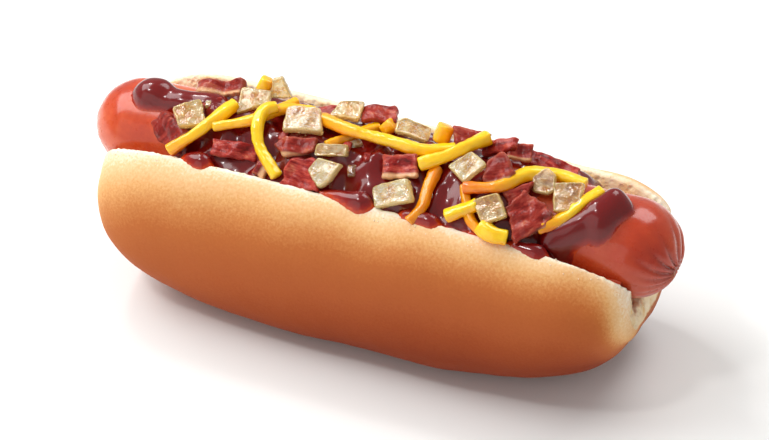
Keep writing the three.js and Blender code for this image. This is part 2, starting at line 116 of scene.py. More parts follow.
def ringFaces(rows, cols, fold=None):
    # Quads between closed rings. Each end gets a fan from an added middle point, or, where points
    # j and fold - j of a ring lie opposite each other, quads between those.
    i, j = np.meshgrid(np.arange(rows - 1), np.arange(cols), indexing="ij")
    a, b = (i * cols + j).ravel(), (i * cols + (j + 1) % cols).ravel()
    quads = [np.stack([a, a + cols, b + cols, b], 1)]
    last = (rows - 1) * cols
    if fold is None:
        j = np.arange(cols)
        first = np.stack([j, (j + 1) % cols, np.full(cols, rows * cols)], 1)
        final = np.stack([last + (j + 1) % cols, last + j, np.full(cols, rows * cols + 1)], 1)
        return quads + [first, final]
    j = np.arange(1 if fold == 0 else 0, cols // 2 - 1)
    cap = np.stack([j, j + 1, (fold - j - 1) % cols, (fold - j) % cols], 1)
    caps = [cap, last + cap[:, ::-1]]
    if fold == 0:
        tips = np.array([[0, 1, cols - 1], [cols // 2 - 1, cols // 2, cols // 2 + 1]])
        caps += [tips, last + tips[:, ::-1]]
    return quads + caps


def withHubs(rings):
    # The points of the rings, and after them the middles of the first and last ring
    return np.concatenate([rings.reshape(-1, 3), rings[[0, -1]].mean(1)])


def noteHubs(values):
    # The same for one number at each point of the rings
    return np.concatenate([values.ravel(), values[[0, -1]].mean(1)])


# Materials

class Finish:
    # A node material, with short calls for the nodes that food needs. A name of a shader socket
    # is written with _ for each space.

    mixInputs, mixOutput = (6, 7), 2  # where a Mix node has its colours

    def __init__(self, name, **sockets):
        self.material = bpy.data.materials.new(name)
        self.material.use_nodes = True
        self.tree = self.material.node_tree
        self.shader = self.tree.nodes["Principled BSDF"]
        for socket, value in sockets.items():
            self.shader.inputs[socket.replace("_", " ")].default_value = value

    def node(self, kind, sources, **fields):
        # A new node. A source is an output to link to that input, or the input's own value.
        made = self.tree.nodes.new(kind)
        for field, value in fields.items():
            setattr(made, field, value)
        for socket, source in sources.items():
            if isinstance(source, bpy.types.NodeSocket):
                self.tree.links.new(source, made.inputs[socket])
            else:
                made.inputs[socket].default_value = source
        return made

    def place(self):
        return self.node("ShaderNodeTexCoord", {}).outputs["Object"]

    def note(self, label, output="Fac"):
        # A number at each point of the piece, or, with the output Vector, a vector
        return self.node("ShaderNodeAttribute", {}, attribute_name=label).outputs[output]

    def stretch(self, vector, scale):
        return self.node("ShaderNodeMapping", {"Vector": vector, "Scale": scale}).outputs["Vector"]

    def noise(self, vector, scale, detail, rough, warp=0.0):
        sources = {"Vector": vector, "Scale": scale, "Detail": detail, "Roughness": rough, "Distortion": warp}
        return self.node("ShaderNodeTexNoise", sources).outputs["Fac"]

    def spots(self, vector, scale):
        return self.node("ShaderNodeTexVoronoi", {"Vector": vector, "Scale": scale}).outputs["Distance"]

    def sum(self, first, second, share):
        # first + share * second
        sources = {0: second, 1: share, 2: first}
        return self.node("ShaderNodeMath", sources, operation="MULTIPLY_ADD").outputs["Value"]

    def times(self, first, second):
        return self.node("ShaderNodeMath", {0: first, 1: second}, operation="MULTIPLY").outputs["Value"]

    def ramp(self, factor, *stops):
        # A stop is a position with a 0-255 colour, or with a grey from 0 to 1
        made = self.node("ShaderNodeValToRGB", {"Fac": factor})
        elements = made.color_ramp.elements
        elements.remove(elements[1])
        for number, (position, colour) in enumerate(stops):
            element = elements[0] if number == 0 else elements.new(position)
            element.position = position
            element.color = tint(*colour) if isinstance(colour, tuple) else (colour, colour, colour, 1)
        return made.outputs["Color"]

    def blend(self, share, first, second):
        # first where share is 0, second where it is 1; each is an output or a 0-255 colour
        colours = [tint(*c) if isinstance(c, tuple) else c for c in (first, second)]
        made = self.node("ShaderNodeMix", {"Factor": share, **dict(zip(self.mixInputs, colours))},
                         data_type="RGBA")
        return made.outputs[self.mixOutput]

    def bump(self, height, distance, strength, under=None):
        # Relief up to distance millimetres high, on top of the bump under it
        sources = {"Height": height, "Distance": distance * mm, "Strength": strength}
        if under is not None:
            sources["Normal"] = under
        return self.node("ShaderNodeBump", sources).outputs["Normal"]

    def paint(self, **sources):
        for socket, source in sources.items():
            self.tree.links.new(source, self.shader.inputs[socket.replace("_", " ")])
        return self.material


def breadFinish():
    # bake: 0 pale to 1 brown. crumb: 1 on the cut faces, 0 on the crust. rimLine: 1 along the rims.
    f = Finish("bread", Roughness=0.66, IOR=1.42, Specular_IOR_Level=0.2,
               Subsurface_Weight=0.1, Subsurface_Scale=0.003, Subsurface_Radius=(1.0, 0.5, 0.25))
    where = f.place()
    patches = f.noise(where, 38, 3, 0.55)
    grain = f.noise(where, 1500, 2, 0.6)
    baked = f.sum(f.sum(f.note("bake"), patches, 0.07), grain, 0.13)
    crust = f.ramp(baked, (0.085, (250, 233, 210)), (0.155, (240, 199, 148)), (0.24, (225, 167, 106)),
                   (0.315, (206, 132, 73)), (0.4, (189, 106, 52)), (0.51, (180, 95, 46)),
                   (0.64, (174, 88, 42)), (0.8, (158, 72, 31)), (1.0, (138, 55, 21)))
    toast = f.noise(where, 210, 4, 0.6, 0.4)
    inside = f.ramp(toast, (0.3, (246, 228, 194)), (0.5, (242, 217, 176)), (0.64, (233, 194, 136)),
                    (0.78, (208, 154, 92)))
    colour = f.blend(f.note("crumb"), crust, inside)
    colour = f.blend(f.note("rimLine"), colour, (255, 246, 224))
    pores = f.ramp(f.spots(where, 620), (0.0, 0.0), (0.55, 1.0))
    fine = f.bump(f.sum(grain, f.noise(where, 420, 3, 0.6), 0.8), 0.16, 0.55)
    return f.paint(Base_Color=colour, Normal=f.bump(f.times(pores, f.note("crumb")), 0.5, 0.8, fine))


def sausageFinish():
    # tip: 1 in the folds of a puckered end, darkened there as painted shade. right: 0 at the left end to 0.5
    # at the right, where painted shade darkens the skin.
    f = Finish("sausageSkin", IOR=1.4, Specular_IOR_Level=0.3, Coat_Weight=0.65, Coat_Roughness=0.13,
               Subsurface_Weight=0.2, Subsurface_Scale=0.003, Subsurface_Radius=(1.0, 0.3, 0.15))
    where = f.place()
    clouds = f.noise(where, 60, 3, 0.5)
    fleck = f.noise(where, 420, 3, 0.65)
    colour = f.ramp(f.sum(clouds, fleck, 0.28), (0.42, (176, 50, 18)), (0.6, (200, 72, 30)),
                    (0.8, (216, 98, 54)))
    # Darker towards the right end: painted shade
    colour = f.blend(f.note("right"), colour, (160, 38, 14))
    # Darker in the folds of the puckered ends: painted shade
    colour = f.blend(f.times(f.note("tip"), 0.8), colour, (150, 44, 28))
    rough = f.ramp(f.noise(where, 300, 3, 0.6), (0.3, 0.2), (0.7, 0.42))
    skin = f.bump(f.noise(where, 900, 3, 0.6), 0.07, 0.5)
    uneven = f.bump(f.noise(where, 160, 2, 0.5), 0.18, 0.5, skin)
    return f.paint(Base_Color=colour, Roughness=rough, Normal=uneven, Coat_Normal=uneven)


def sauceFinish():
    # thick: 0 at a thin edge, 1 where the sauce is deep
    f = Finish("darkSauce", Roughness=0.2, IOR=1.4, Specular_IOR_Level=0.4,
               Coat_Weight=0.5, Coat_Roughness=0.03,
               Subsurface_Weight=0.2, Subsurface_Scale=0.003, Subsurface_Radius=(1.0, 0.12, 0.05))
    where = f.place()
    depth = f.sum(f.note("thick"), f.noise(where, 130, 3, 0.55, 0.3), 0.25)
    colour = f.ramp(depth, (0.14, (200, 64, 16)), (0.3, (160, 34, 12)), (0.55, (140, 20, 13)),
                    (1.0, (112, 12, 11)))
    return f.paint(Base_Color=colour, Normal=f.bump(f.noise(where, 240, 2, 0.5), 0.12, 0.35))


def cheeseFinish():
    # The shred's note runs from 0, pale yellow, to 1, orange: orange from sauce and stains, and painted shade
    # on its underside
    f = Finish("cheeseShred", Roughness=0.26, IOR=1.44, Coat_Weight=0.6, Coat_Roughness=0.09,
               Subsurface_Weight=0.35, Subsurface_Scale=0.004, Subsurface_Radius=(1.0, 0.55, 0.08))
    where = f.place()
    stainAndShade = f.sum(f.note("stainAndShade"), f.noise(where, 170, 3, 0.6), 0.45)
    colour = f.ramp(stainAndShade, (0.15, (255, 216, 30)), (0.45, (255, 192, 6)), (0.75, (244, 146, 0)),
                    (1.0, (214, 88, 4)))
    return f.paint(Base_Color=colour, Normal=f.bump(f.noise(where, 500, 3, 0.6), 0.12, 0.5))


def onionFinish():
    # own: the piece's own coordinates, its veins along the first axis. edge: 1 round its cut rim, painted
    # golden for light glowing through the thin glassy edge.
    # brown: how much it is fried. Then the share of painted glints: tiny white specks of painted highlight.
    f = Finish("friedOnion", Roughness=0.1, IOR=1.45, Transmission_Weight=0.5,
               Coat_Weight=1.0, Coat_Roughness=0.03, Coat_IOR=1.65,
               Subsurface_Weight=0.25, Subsurface_Scale=0.0012, Subsurface_Radius=(1.0, 0.9, 0.7))
    own = f.note("own", "Vector")
    veins = f.noise(f.stretch(own, (0.18, 0.8, 0.2)), 1.0, 3, 0.5, 0.3)
    cloud = f.noise(own, 0.35, 3, 0.6)
    pale = f.ramp(f.sum(cloud, veins, 0.35), (0.5, (202, 124, 42)), (0.63, (238, 188, 92)),
                  (0.76, (255, 240, 188)))
    pale = f.blend(f.times(f.note("brown"), 0.55), pale, (206, 134, 52))
    # Glistening pieces are lightened all over: a painted sheen
    pale = f.blend(f.times(f.note("paintedGlint"), 0.25), pale, (250, 226, 178))
    fried = f.ramp(f.noise(own, 0.42, 3, 0.55, 0.4), (0.5, 0.0), (0.7, 1.0))
    colour = f.blend(f.times(fried, f.note("brown")), pale, (146, 84, 30))
    # Tiny white specks: painted glints of highlight
    paintedSpecks = f.ramp(f.noise(f.stretch(own, (0.45, 1.2, 0.8)), 2.6, 2, 0.6, 0.8), (0.53, 0.0), (0.59, 1.0))
    colour = f.blend(f.times(paintedSpecks, f.note("paintedGlint")), colour, (255, 250, 234))
    # A golden rim: painted glow of light through the thin glassy edge
    colour = f.blend(f.note("edge"), colour, (250, 218, 134))
    wet = f.bump(f.noise(own, 0.95, 2, 0.55, 0.6), 0.34, 0.9)
    glint = f.bump(veins, 0.06, 0.3, wet)
    return f.paint(Base_Color=colour, Normal=glint, Coat_Normal=glint)


def baconFinish():
    # own: the piece's own coordinates, across the streaks along its second axis. fat: 1 in its fat
    # rim. tone: 0 red to 1 brown.
    f = Finish("cookedBacon", Roughness=0.3, IOR=1.42, Specular_IOR_Level=0.2,
               Coat_Weight=0.25, Coat_Roughness=0.1,
               Subsurface_Weight=0.2, Subsurface_Scale=0.003, Subsurface_Radius=(1.0, 0.3, 0.2))
    own = f.note("own", "Vector")
    streaks = f.noise(f.stretch(own, (0.12, 0.5, 0.2)), 1.0, 4, 0.6, 0.6)
    fibre = f.noise(f.stretch(own, (0.5, 1.8, 0.6)), 1.0, 4, 0.65, 0.5)
    lean = f.ramp(f.sum(streaks, fibre, 0.3), (0.45, (84, 8, 8)), (0.59, (146, 26, 24)),
                  (0.73, (196, 74, 60)), (0.88, (234, 146, 108)))
    lean = f.blend(f.note("tone"), lean, (116, 28, 14))
    colour = f.blend(f.note("fat"), lean, (226, 178, 132))
    wet = f.bump(fibre, 0.12, 0.5)
    folds = f.bump(f.noise(own, 0.5, 2, 0.5), 0.7, 0.7, wet)
    return f.paint(Base_Color=colour, Normal=folds, Coat_Normal=folds)


# Bun

bun = {
    # Reach, height and fall to the right of the front and the back half
    "length": 150.0, "reach": (30.0, 30.0), "height": (50.8, 54.8), "fall": (2.7, 1.6),
    # Height of the widest line, how much of the underside is pressed flat, and how boxy it is
    "waist": 21.6, "underside": 0.8, "squareness": 2.8,
    # The ends close towards endHeight. The last full section is at endTrim of the half length.
    "endHeight": 32.8, "endTrim": 0.975,
    # How bluntly front and back close: 2 is round, more is blunter
    "reachBlunt": {"left": (5.8, 5.0), "right": (5.0, 9.7)},
    "heightBlunt": {"left": (2.7, 7.2), "right": (1.7, 5.9)},
    # Lean of the cut's faces, depth of its floor below the sausage, and air beside the sausage
    "cutAngle": 28.5, "cutFloor": 2.0, "gap": 0.3, "cutReach": 26.0,
    # Low swells along the back's upper side: x, rise and spread
    "swells": ((-56, 1.2, 8), (45, -0.8, 9), (62, 0.8, 6)),
    "rings": 210, "runSteps": 120, "fineSteps": 1600, "capRings": 9, "capTurn": 86, "halvings": 26,
    # How often the rims and the ends are evened out, and over how many rings the ends are
    "rimRounds": 5, "endRounds": 10, "endRings": 14,
    # Relief: depth, size and seed of each layer, and where it fades out
    "crustRelief": ((0.22, 26, 11), (0.05, 7, 12)), "pressedFlat": 0.3,
    "crumbRelief": ((0.168, 4.2, 13), (0.14, 2.1, 14)), "crumbSink": 0.25, "crumbFrom": (0, 3),
    "ragged": (0.17, 1.3, 15), "raggedSpread": 1.3,
    # How brown the crust gets, how far round from the rim, its shares at the left and right end (the higher
    # share at the right partly painted shade), its wobble along the bun, and how much paler the ends are,
    # over which x and z
    "bake": {"most": 0.56, "reach": 36, "limit": 1.25, "ends": (0.78, 1.8), "wobble": (1.2, 30, 16),
             "pale": (0.2, 0.8), "paleX": (67, 75), "paleZ": (2, 24)},
    # The pale line along the rims, broken in patches and weaker at the back
    "line": {"width": 0.75, "strength": 0.75, "patches": (0.5, 2.4, 17), "back": 0.4, "crumbAt": 0.8},
}
sausage = {
    # The axis is at height at the middle, sags at both ends and falls to the right
    "length": 165.0, "radius": 12.8, "height": 41.9, "sag": 0.4, "fall": 0.7,
    "sides": 120, "straightRings": 150, "capRings": 44, "capTurn": 88.5,
    "relief": ((0.16, 22, 31), (0.05, 6, 32)),
    # Folds of the puckered ends: how many, how deep, their share at the left end, how far they
    # reach, and how they sway and spiral round the knot, which has a pit of its own
    "folds": {"count": 9, "depth": 1.25, "left": 0.2, "reach": 10.5, "fade": 2.2, "from": (0.2, 2.2),
              "sharpness": 0.7, "sway": 1.6, "spiral": 0.35, "strength": 1.15, "uneven": 0.5,
              "knotReach": 0.97, "knotSide": -1.0, "knotDrop": 2.6, "pitWidth": 1.9, "pitDepth": 0.9},
    # Painted shade that darkens the skin towards the right end: its most, from which x and to which x
    "rightShade": {"most": 0.5, "from": -60, "to": 60},
}


def axisHeight(x):
    # Height of the sausage's axis
    k = 2 * x / bun["length"]
    return sausage["height"] - sausage["sag"] * k**2 - sausage["fall"] * k


def cutHeight(x, y):
    # Two planes that lean outwards, and the floor between them under the sausage
    angle = np.radians(bun["cutAngle"])
    hinge = axisHeight(x) - (sausage["radius"] + bun["gap"]) / np.sin(angle)
    floor = axisHeight(x) - sausage["radius"] - bun["cutFloor"]
    return np.maximum(hinge + np.abs(y) / np.tan(angle), floor)


def closing(k, blunt):
    # A power curve, 1 at the middle of the bun and 0 at its end
    return (1 - np.abs(k) ** blunt) ** (1 / blunt)


def skinPoint(k, degrees):
    # A rounded box section whose front and back have their own height, closed towards both ends.
    # k: share of the half length. degrees: 0 is the back, 90 the top, 180 the front.
    c, s = np.cos(np.radians(degrees)), np.sin(np.radians(degrees))
    backShare = (1 + c) / 2
    x = k * bun["length"] / 2
    swell = sum(rise * np.exp(-((x - at) / width) ** 2) for at, rise, width in bun["swells"])
    blunt = {name: np.where(k < 0, mix(*bun[name]["left"], backShare), mix(*bun[name]["right"], backShare))
             for name in ("reachBlunt", "heightBlunt")}
    frontTop, backTop = [high - fall * k for high, fall in zip(bun["height"], bun["fall"])]
    top = mix(frontTop, backTop + swell, backShare)
    power = 2 / bun["squareness"]
    rise = np.where(s > 0, top - bun["waist"], bun["waist"] + bun["underside"])
    reach = np.where(c > 0, bun["reach"][1], bun["reach"][0])
    y = reach * np.sign(c) * np.abs(c) ** power
    z = bun["waist"] + rise * np.sign(s) * np.abs(s) ** power
    z = mix(bun["endHeight"], z, closing(k, blunt["heightBlunt"]))
    return y * closing(k, blunt["reachBlunt"]), np.maximum(z, 0)


def rimAngle(k, inside, outside):
    # Where the skin meets the cut face, by halving
    a, b = np.full(k.shape, float(inside)), np.full(k.shape, float(outside))
    for _ in range(bun["halvings"]):
        middle = (a + b) / 2
        y, z = skinPoint(k, middle)
        above = z > cutHeight(k * bun["length"] / 2, y)
        a, b = np.where(above, middle, a), np.where(above, b, middle)
    return b


def bunSections(k):
    # For each share k of the half length, two runs of equally spaced points: the skin from the
    # front rim under the bun to the back rim, and the cut from rim to rim. Also how far each point
    # of the skin is from the nearer rim.
    k = k[:, None]
    x = k * bun["length"] / 2
    front, back = rimAngle(k, 90, 180), 360 + rimAngle(k, 90, 0)
    y, z = skinPoint(k, mix(front, back, np.linspace(0, 1, bun["fineSteps"])[None]))
    length = np.concatenate([np.zeros_like(k), np.cumsum(np.hypot(np.diff(y), np.diff(z)), 1)], 1)
    share = np.linspace(0, 1, bun["runSteps"] + 1)
    wanted = length[:, -1:] * share
    even = [[np.interp(w, l, values) for w, l, values in zip(wanted, length, source)] for source in (y, z)]
    skin = np.stack([np.broadcast_to(x, wanted.shape), *np.array(even)], 2)
    across = np.where(share < 0.5, y[:, :1], y[:, -1:]) * np.abs(2 * share - 1)
    cut = np.stack([np.broadcast_to(x, across.shape), across, cutHeight(x, across)], 2)
    return skin, cut, np.minimum(wanted, length[:, -1:] - wanted)


def bunForm():
    # Rings of skin and cut run together. Past the last sections they turn a quarter round towards
    # the line midway between skin and cut. Also which points are on the cut, and the distances
    # from the rims on the skin and on the cut, each 0 on the other.
    turn = np.radians(np.linspace(-90, 90, bun["rings"]))
    skin, cut, fromRim = bunSections(bun["endTrim"] * np.sin(turn))
    middle = (skin + cut) / 2
    share = np.linspace(0, 1, bun["runSteps"] + 1)
    bulge = (1 - bun["endTrim"]) * bun["length"] / 2 * np.sqrt(np.clip(np.sin(np.pi * share), 0, 1))
    angle = np.radians(np.linspace(0, bun["capTurn"], bun["capRings"] + 1)[1:])[:, None, None]
    caps = []
    for end, row in ((-1, 0), (1, -1)):
        outward = np.array([end, 0, 0]) * bulge[:, None] * np.sin(angle)
        runs = [mix(middle[row], run[row], np.cos(angle)) + outward for run in (skin, cut)]
        caps.append(np.stack(runs)[:, ::end])
    skin, cut = np.concatenate([caps[0], np.stack([skin, cut]), caps[1]], 1)
    fromRim = np.pad(fromRim, ((bun["capRings"], bun["capRings"]), (0, 0)), mode="edge")
    rings = np.concatenate([skin, cut[:, -2:0:-1]], 1)
    for _ in range(bun["rimRounds"]):
        rings = (np.roll(rings, 1, 1) + 2 * rings + np.roll(rings, -1, 1)) / 4
    # The last full section and its bulge melt into each other
    place = np.arange(len(rings))
    nearEnd = ease(np.minimum(place, place[::-1]), bun["capRings"] + bun["endRings"], bun["capRings"])
    for _ in range(bun["endRounds"]):
        even = (rings[:-2] + 2 * rings[1:-1] + rings[2:]) / 4
        rings[1:-1] = mix(rings[1:-1], even, nearEnd[1:-1, None, None])
    skinCols, cutCols = bun["runSteps"] + 1, bun["runSteps"] - 1
    onCut = np.arange(rings.shape[1]) >= skinCols
    rimSkin = np.pad(fromRim, ((0, 0), (0, cutCols)))
    rimCut = np.pad(bun["cutReach"] * (1 - np.abs(2 * share[-2:0:-1] - 1)), (skinCols, 0))
    return rings, onCut, rimSkin, np.broadcast_to(rimCut, rimSkin.shape)


def makeBun():
    # The form, pushed along its normals by relief: broad on the crust, rough on the crumb, ragged
    # at the rims, and none where the underside is pressed flat
    rings, onCut, rimSkin, rimCut = bunForm()
    fromRims = rimSkin + rimCut
    crustLift = layers(rings, *bun["crustRelief"]) * (rings[..., 2] >= bun["pressedFlat"])
    crumbLift = (layers(rings, *bun["crumbRelief"]) - bun["crumbSink"]) * ease(rimCut, *bun["crumbFrom"])
    ragged = layers(rings, bun["ragged"]) * np.exp(-fromRims**2 / bun["raggedSpread"])
    lift = np.where(onCut, crumbLift, crustLift) + ragged
    rings = rings - gridNormals(rings) * lift[..., None]
    # How brown the crust is: pale by the rims, browner further round, paler again at the ends, and browner
    # towards the right end, partly as painted shade
    bake, line = bun["bake"], bun["line"]
    x, y, z = np.moveaxis(rings, 2, 0)
    along = np.clip(x / bun["length"] + 0.5, 0, 1)
    brown = np.clip((rimSkin + layers(rings[..., :1], bake["wobble"])) / bake["reach"], 0, bake["limit"])
    # Browner towards the right end: partly crust, partly painted shade
    brown *= bake["most"] * mix(*bake["ends"], along)
    brown *= 1 - mix(*bake["pale"], along) * ease(np.abs(x), *bake["paleX"]) * ease(z, *bake["paleZ"])
    rimLine = np.exp(-((fromRims / line["width"]) ** 2))
    rimLine *= np.clip(line["strength"] + layers(rings, line["patches"]), 0, 1)
    rimLine *= np.where(y > 0, line["back"], 1)
    makePiece("breadBun", rings.reshape(-1, 3), ringFaces(*rings.shape[:2], fold=0), ["bun"],
              breadFinish(), {"bake": brown.ravel(), "crumb": ease(rimCut, 0, line["crumbAt"]).ravel(),
                              "rimLine": rimLine.ravel()})
    return rings


bunRings = makeBun()
print("bun done")


# Sausage

def makeSausage():
    # Rings round the axis that close in half rounds. Folds fan out from a knot by the middle of
    # each end: waves round the knot, deepest a little away from it, and weaker at the left end.
    radius, folds = sausage["radius"], sausage["folds"]
    straight = sausage["length"] / 2 - radius
    cap = np.radians(np.linspace(sausage["capTurn"], 0, sausage["capRings"], endpoint=False))
    capX, capSize = straight + radius * np.sin(cap), radius * np.cos(cap)
    middleX = np.linspace(-straight, straight, sausage["straightRings"])
    x = np.concatenate([-capX, middleX, capX[::-1]])[:, None]
    size = np.concatenate([capSize, np.full(len(middleX), radius), capSize[::-1]])[:, None]
    angle = np.radians(np.linspace(0, 360, sausage["sides"], endpoint=False))[None]
    rings = np.stack([np.broadcast_to(x, (len(x), sausage["sides"])), size * np.cos(angle),
                      axisHeight(x) + size * np.sin(angle)], 2)
    # Outward from the round's own middle
    outward = rings - np.stack([np.clip(x, -straight, straight), 0 * x, axisHeight(x)], 2)
    outward /= np.linalg.norm(outward, axis=2, keepdims=True)
    lift, tip = layers(rings, *sausage["relief"]), 0
    for end, share in ((1, 1), (-1, folds["left"])):
        knot = np.array([end * (straight + radius * folds["knotReach"]), end * folds["knotSide"],
                         axisHeight(straight) - folds["knotDrop"]])
        away = rings - knot
        reach = np.linalg.norm(away, axis=2)
        swing = np.arctan2(away[..., 2], away[..., 1])
        wave = np.cos(folds["count"] * swing + folds["sway"] * np.sin(2 * swing) + folds["spiral"] * reach)
        ridge = 1 - np.abs(wave) ** folds["sharpness"]
        near = np.exp(-(reach / folds["reach"]) ** folds["fade"]) * ease(reach, *folds["from"])
        pit = np.exp(-(reach / folds["pitWidth"]) ** 2)
        strength = folds["strength"] + folds["uneven"] * np.sin(3 * swing)
        lift = lift - folds["depth"] * share * ridge * near * strength - folds["pitDepth"] * pit
        # Where the folds and the pit lie, for the painted shade in them
        tip = np.maximum(tip, (near * ridge + pit) * share)
    rings = rings + outward * lift[..., None]
    # Painted shade, darker towards the right end
    rightShade = sausage["rightShade"]
    rightShade = rightShade["most"] * ease(rings[..., 0], rightShade["from"], rightShade["to"])
    makePiece("cookedSausage", withHubs(rings), ringFaces(*rings.shape[:2]), ["sausage"],
              sausageFinish(), {"tip": noteHubs(np.clip(tip, 0, 1)), "right": noteHubs(rightShade)})


makeSausage()
print("sausage done")


# Sauce

sauce = {
    # The sheet's edges, the distance between its points, and how much narrower it gets, over which x
    "left": -71.0, "right": 71.2, "front": -23.5, "back": 19.5, "step": 0.45, "tuck": (0.3, 48, 68),
    # How far it dips under what is bare, how far down its underside is, and where it counts as deep
    "sink": 2.2, "underside": 3.2, "deep": 1.5,
    # Steps of halving that find the bun's skin
    "halvings": 18,
    # The long mound between the rims: it curves down to both sides, slopes to the right, and falls
    # at its ends, along a skew line, and once more where it stops. Its relief has the depth, size
    # and seed of each layer. Where it is further than clear under the bare top, it dips.
    "mound": {"height": 56.4, "curve": 0.031, "slope": 0.012, "middle": -2, "skew": 0.5,
              "ends": (44, 66), "endFall": 9, "stops": (55, 63), "stopFall": 14,
              "relief": ((0.8, 9, 42), (0.4, 4.6, 43)), "clear": 0.5},
    # Half width, height and [x, y] points of each stroke
    "strokes": (
        (5.2, 4.4, ((-65.0, -2.4), (-62.5, -2.2))),
        (4.0, 3.0, ((-59.5, -3), (-54, -2.6), (-46, -1))),
        (4.9, 5.2, ((64.4, -2.8), (62.3, -6.2))),
        (3.1, 3.2, ((58.8, -8.6), (51, -13.2))),
        (3.2, 3.0, ((-46, -16), (-41.5, -17.2))),
        (4.0, 3.2, ((-7, -14.6), (3.5, -16.6))),
        (3.2, 2.6, ((16, -16.2), (22, -17.2))),
        (3.2, 2.6, ((44, -15.2), (50, -16.2))),
    ),
    # Relief of the strokes' width and height, how round their backs are, how far they lean out,
    # and over which heights their foot and their lean come in
    "strokeWidth": (0.07, 8, 41), "strokeHeight": (0.07, 9, 44), "strokeBack": 0.8,
    "bulge": 0.7, "foot": (0.1, 0.6), "leanFrom": (0, 1.5),
    # Rounds of evening out
    "rounds": {"strokes": 6, "ground": 10, "top": 3},
    # Dents round the pieces that stand out of it: x, y, half length, half width and depth
    "dents": ((-34.5, -13.5, 7.5, 3.5, 2.0), (-53, -12, 7, 5, 1.5), (19, -14, 2.6, 4, 0.8),
              (-47, 3.5, 9, 4, 1.6), (-8, -14, 5, 5, 1.0), (54, -6, 5, 4, 1.0), (38, 4, 9, 4, 0.8)),
}


def bareTop(x, y):
    # Top of the bun and sausage alone; the skin's angle is found by halving
    k = np.clip(2 * x / bun["length"], -bun["endTrim"], bun["endTrim"])
    outer, inner = np.where(y > 0, 0.0, 180.0), np.full(x.shape, 90.0)
    for _ in range(sauce["halvings"]):
        middle = (outer + inner) / 2
        wide = np.abs(skinPoint(k, middle)[0]) > np.abs(y)
        outer, inner = np.where(wide, middle, outer), np.where(wide, inner, middle)
    skin = skinPoint(k, outer)[1]
    radius = sausage["radius"]
    past = np.maximum(np.abs(x) - sausage["length"] / 2 + radius, 0)
    off = np.minimum(np.hypot(past, y), radius)
    return np.maximum(np.minimum(cutHeight(x, y), skin), axisHeight(x) + np.sqrt(radius**2 - off**2))


def spread(field, rounds):
    # Evens out a field: in each round a point moves halfway to the mean of its two neighbours,
    # first along one axis and then along the other
    for _ in range(rounds):
        for axis in (0, 1):
            edge = np.pad(field, [(1, 1) if a == axis else (0, 0) for a in (0, 1)], mode="edge")
            low, high = (edge[:-2], edge[2:]) if axis == 0 else (edge[:, :-2], edge[:, 2:])
            field = (low + 2 * field + high) / 4
    return field


def strokeDistance(x, y, path):
    # Distance from (x, y) to the nearest point of a path of straight runs
    best = np.full(x.shape, np.inf)
    for (ax, ay), (bx, by) in zip(path[:-1], path[1:]):
        run = np.array([bx - ax, by - ay])
        t = np.clip(((x - ax) * run[0] + (y - ay) * run[1]) / (run @ run), 0, 1)
        best = np.minimum(best, np.hypot(x - ax - t * run[0], y - ay - t * run[1]))
    return best


def moundTop(x, y):
    # A parabola across that slopes along and falls away at its ends, with dents
    mound = sauce["mound"]
    top = mound["height"] - mound["curve"] * y**2 - mound["slope"] * x
    top = top - mound["endFall"] * ease(np.abs(x - mound["middle"]) - mound["skew"] * y, *mound["ends"])
    top = top - mound["stopFall"] * ease(np.abs(x), *mound["stops"])
    top = top + layers(np.stack([x, y], 2), *mound["relief"])
    for atX, atY, halfLong, halfWide, deep in sauce["dents"]:
        top = top - deep * np.exp(-(((x - atX) / halfLong) ** 2 + ((y - atY) / halfWide) ** 2) ** 2)
    return top


def strokesHeight(x, y):
    # How far the round-backed strokes rise: their height over their path, and 0 at their half width
    flat = np.stack([x, y], 2)
    width = 1 + layers(flat, sauce["strokeWidth"])
    height = np.zeros_like(x)
    for halfWidth, high, path in sauce["strokes"]:
        off = strokeDistance(x, y, path) / (halfWidth * width)
        height = np.maximum(height, high * np.clip(1 - off**2, 0, 1) ** sauce["strokeBack"])
    return spread(height, sauce["rounds"]["strokes"]) * (1 + layers(flat, sauce["strokeHeight"]))


def makeSauce():
    # A closed sheet over the bare top. Its upper side is the higher of the mound and the strokes,
    # and it dips under the bun and sausage outside them.
    x, y = np.meshgrid(np.arange(sauce["left"], sauce["right"], sauce["step"]),
                       np.arange(sauce["front"], sauce["back"], sauce["step"]), indexing="ij")
    narrower, tuckFrom, tuckTo = sauce["tuck"]
    y = y * (1 - narrower * ease(np.abs(x), tuckFrom, tuckTo))
    base = bareTop(x, y)
    dips = base - sauce["sink"]
    top = moundTop(x, y)
    top = np.where(top > base - sauce["mound"]["clear"], top, dips)
    height = strokesHeight(x, y)
    ground = spread(base, sauce["rounds"]["ground"])
    strokeTop = mix(dips, np.maximum(base, ground) + height, ease(height, *sauce["foot"]))
    # Strokes lean outward, square to the ground under them
    ground = np.stack([x, y, ground], 2)
    outward = np.cross(np.gradient(ground, axis=0), np.gradient(ground, axis=1))
    outward /= np.linalg.norm(outward, axis=2, keepdims=True)
    outward *= (sauce["bulge"] * height * ease(strokeTop - top, *sauce["leanFrom"]))[..., None]
    top = np.maximum(np.maximum(top, strokeTop), dips)
    top = np.where(top > base, spread(top, sauce["rounds"]["top"]), top)
    upper = np.stack([x + outward[..., 0], y + outward[..., 1], top], 2)
    lower = np.stack([x, y, base - sauce["underside"]], 2)
    rings = np.concatenate([lower, upper[:, ::-1]], 1)
    thick = np.clip((top - base) / sauce["deep"], 0, 1)
    thick = np.concatenate([thick, thick[:, ::-1]], 1)
    makePiece("darkSauce", rings.reshape(-1, 3), ringFaces(*rings.shape[:2], fold=rings.shape[1] - 1),
              ["sauce"], sauceFinish(), {"thick": thick.ravel()})
    return upper.reshape(-1, 3)


sauceTop = makeSauce()
print("sauce done")


# Cut pieces of the heap

slab = {"faceRows": 13, "edgeRows": 9, "firstRow": 0.06, "edgePower": 0.7}


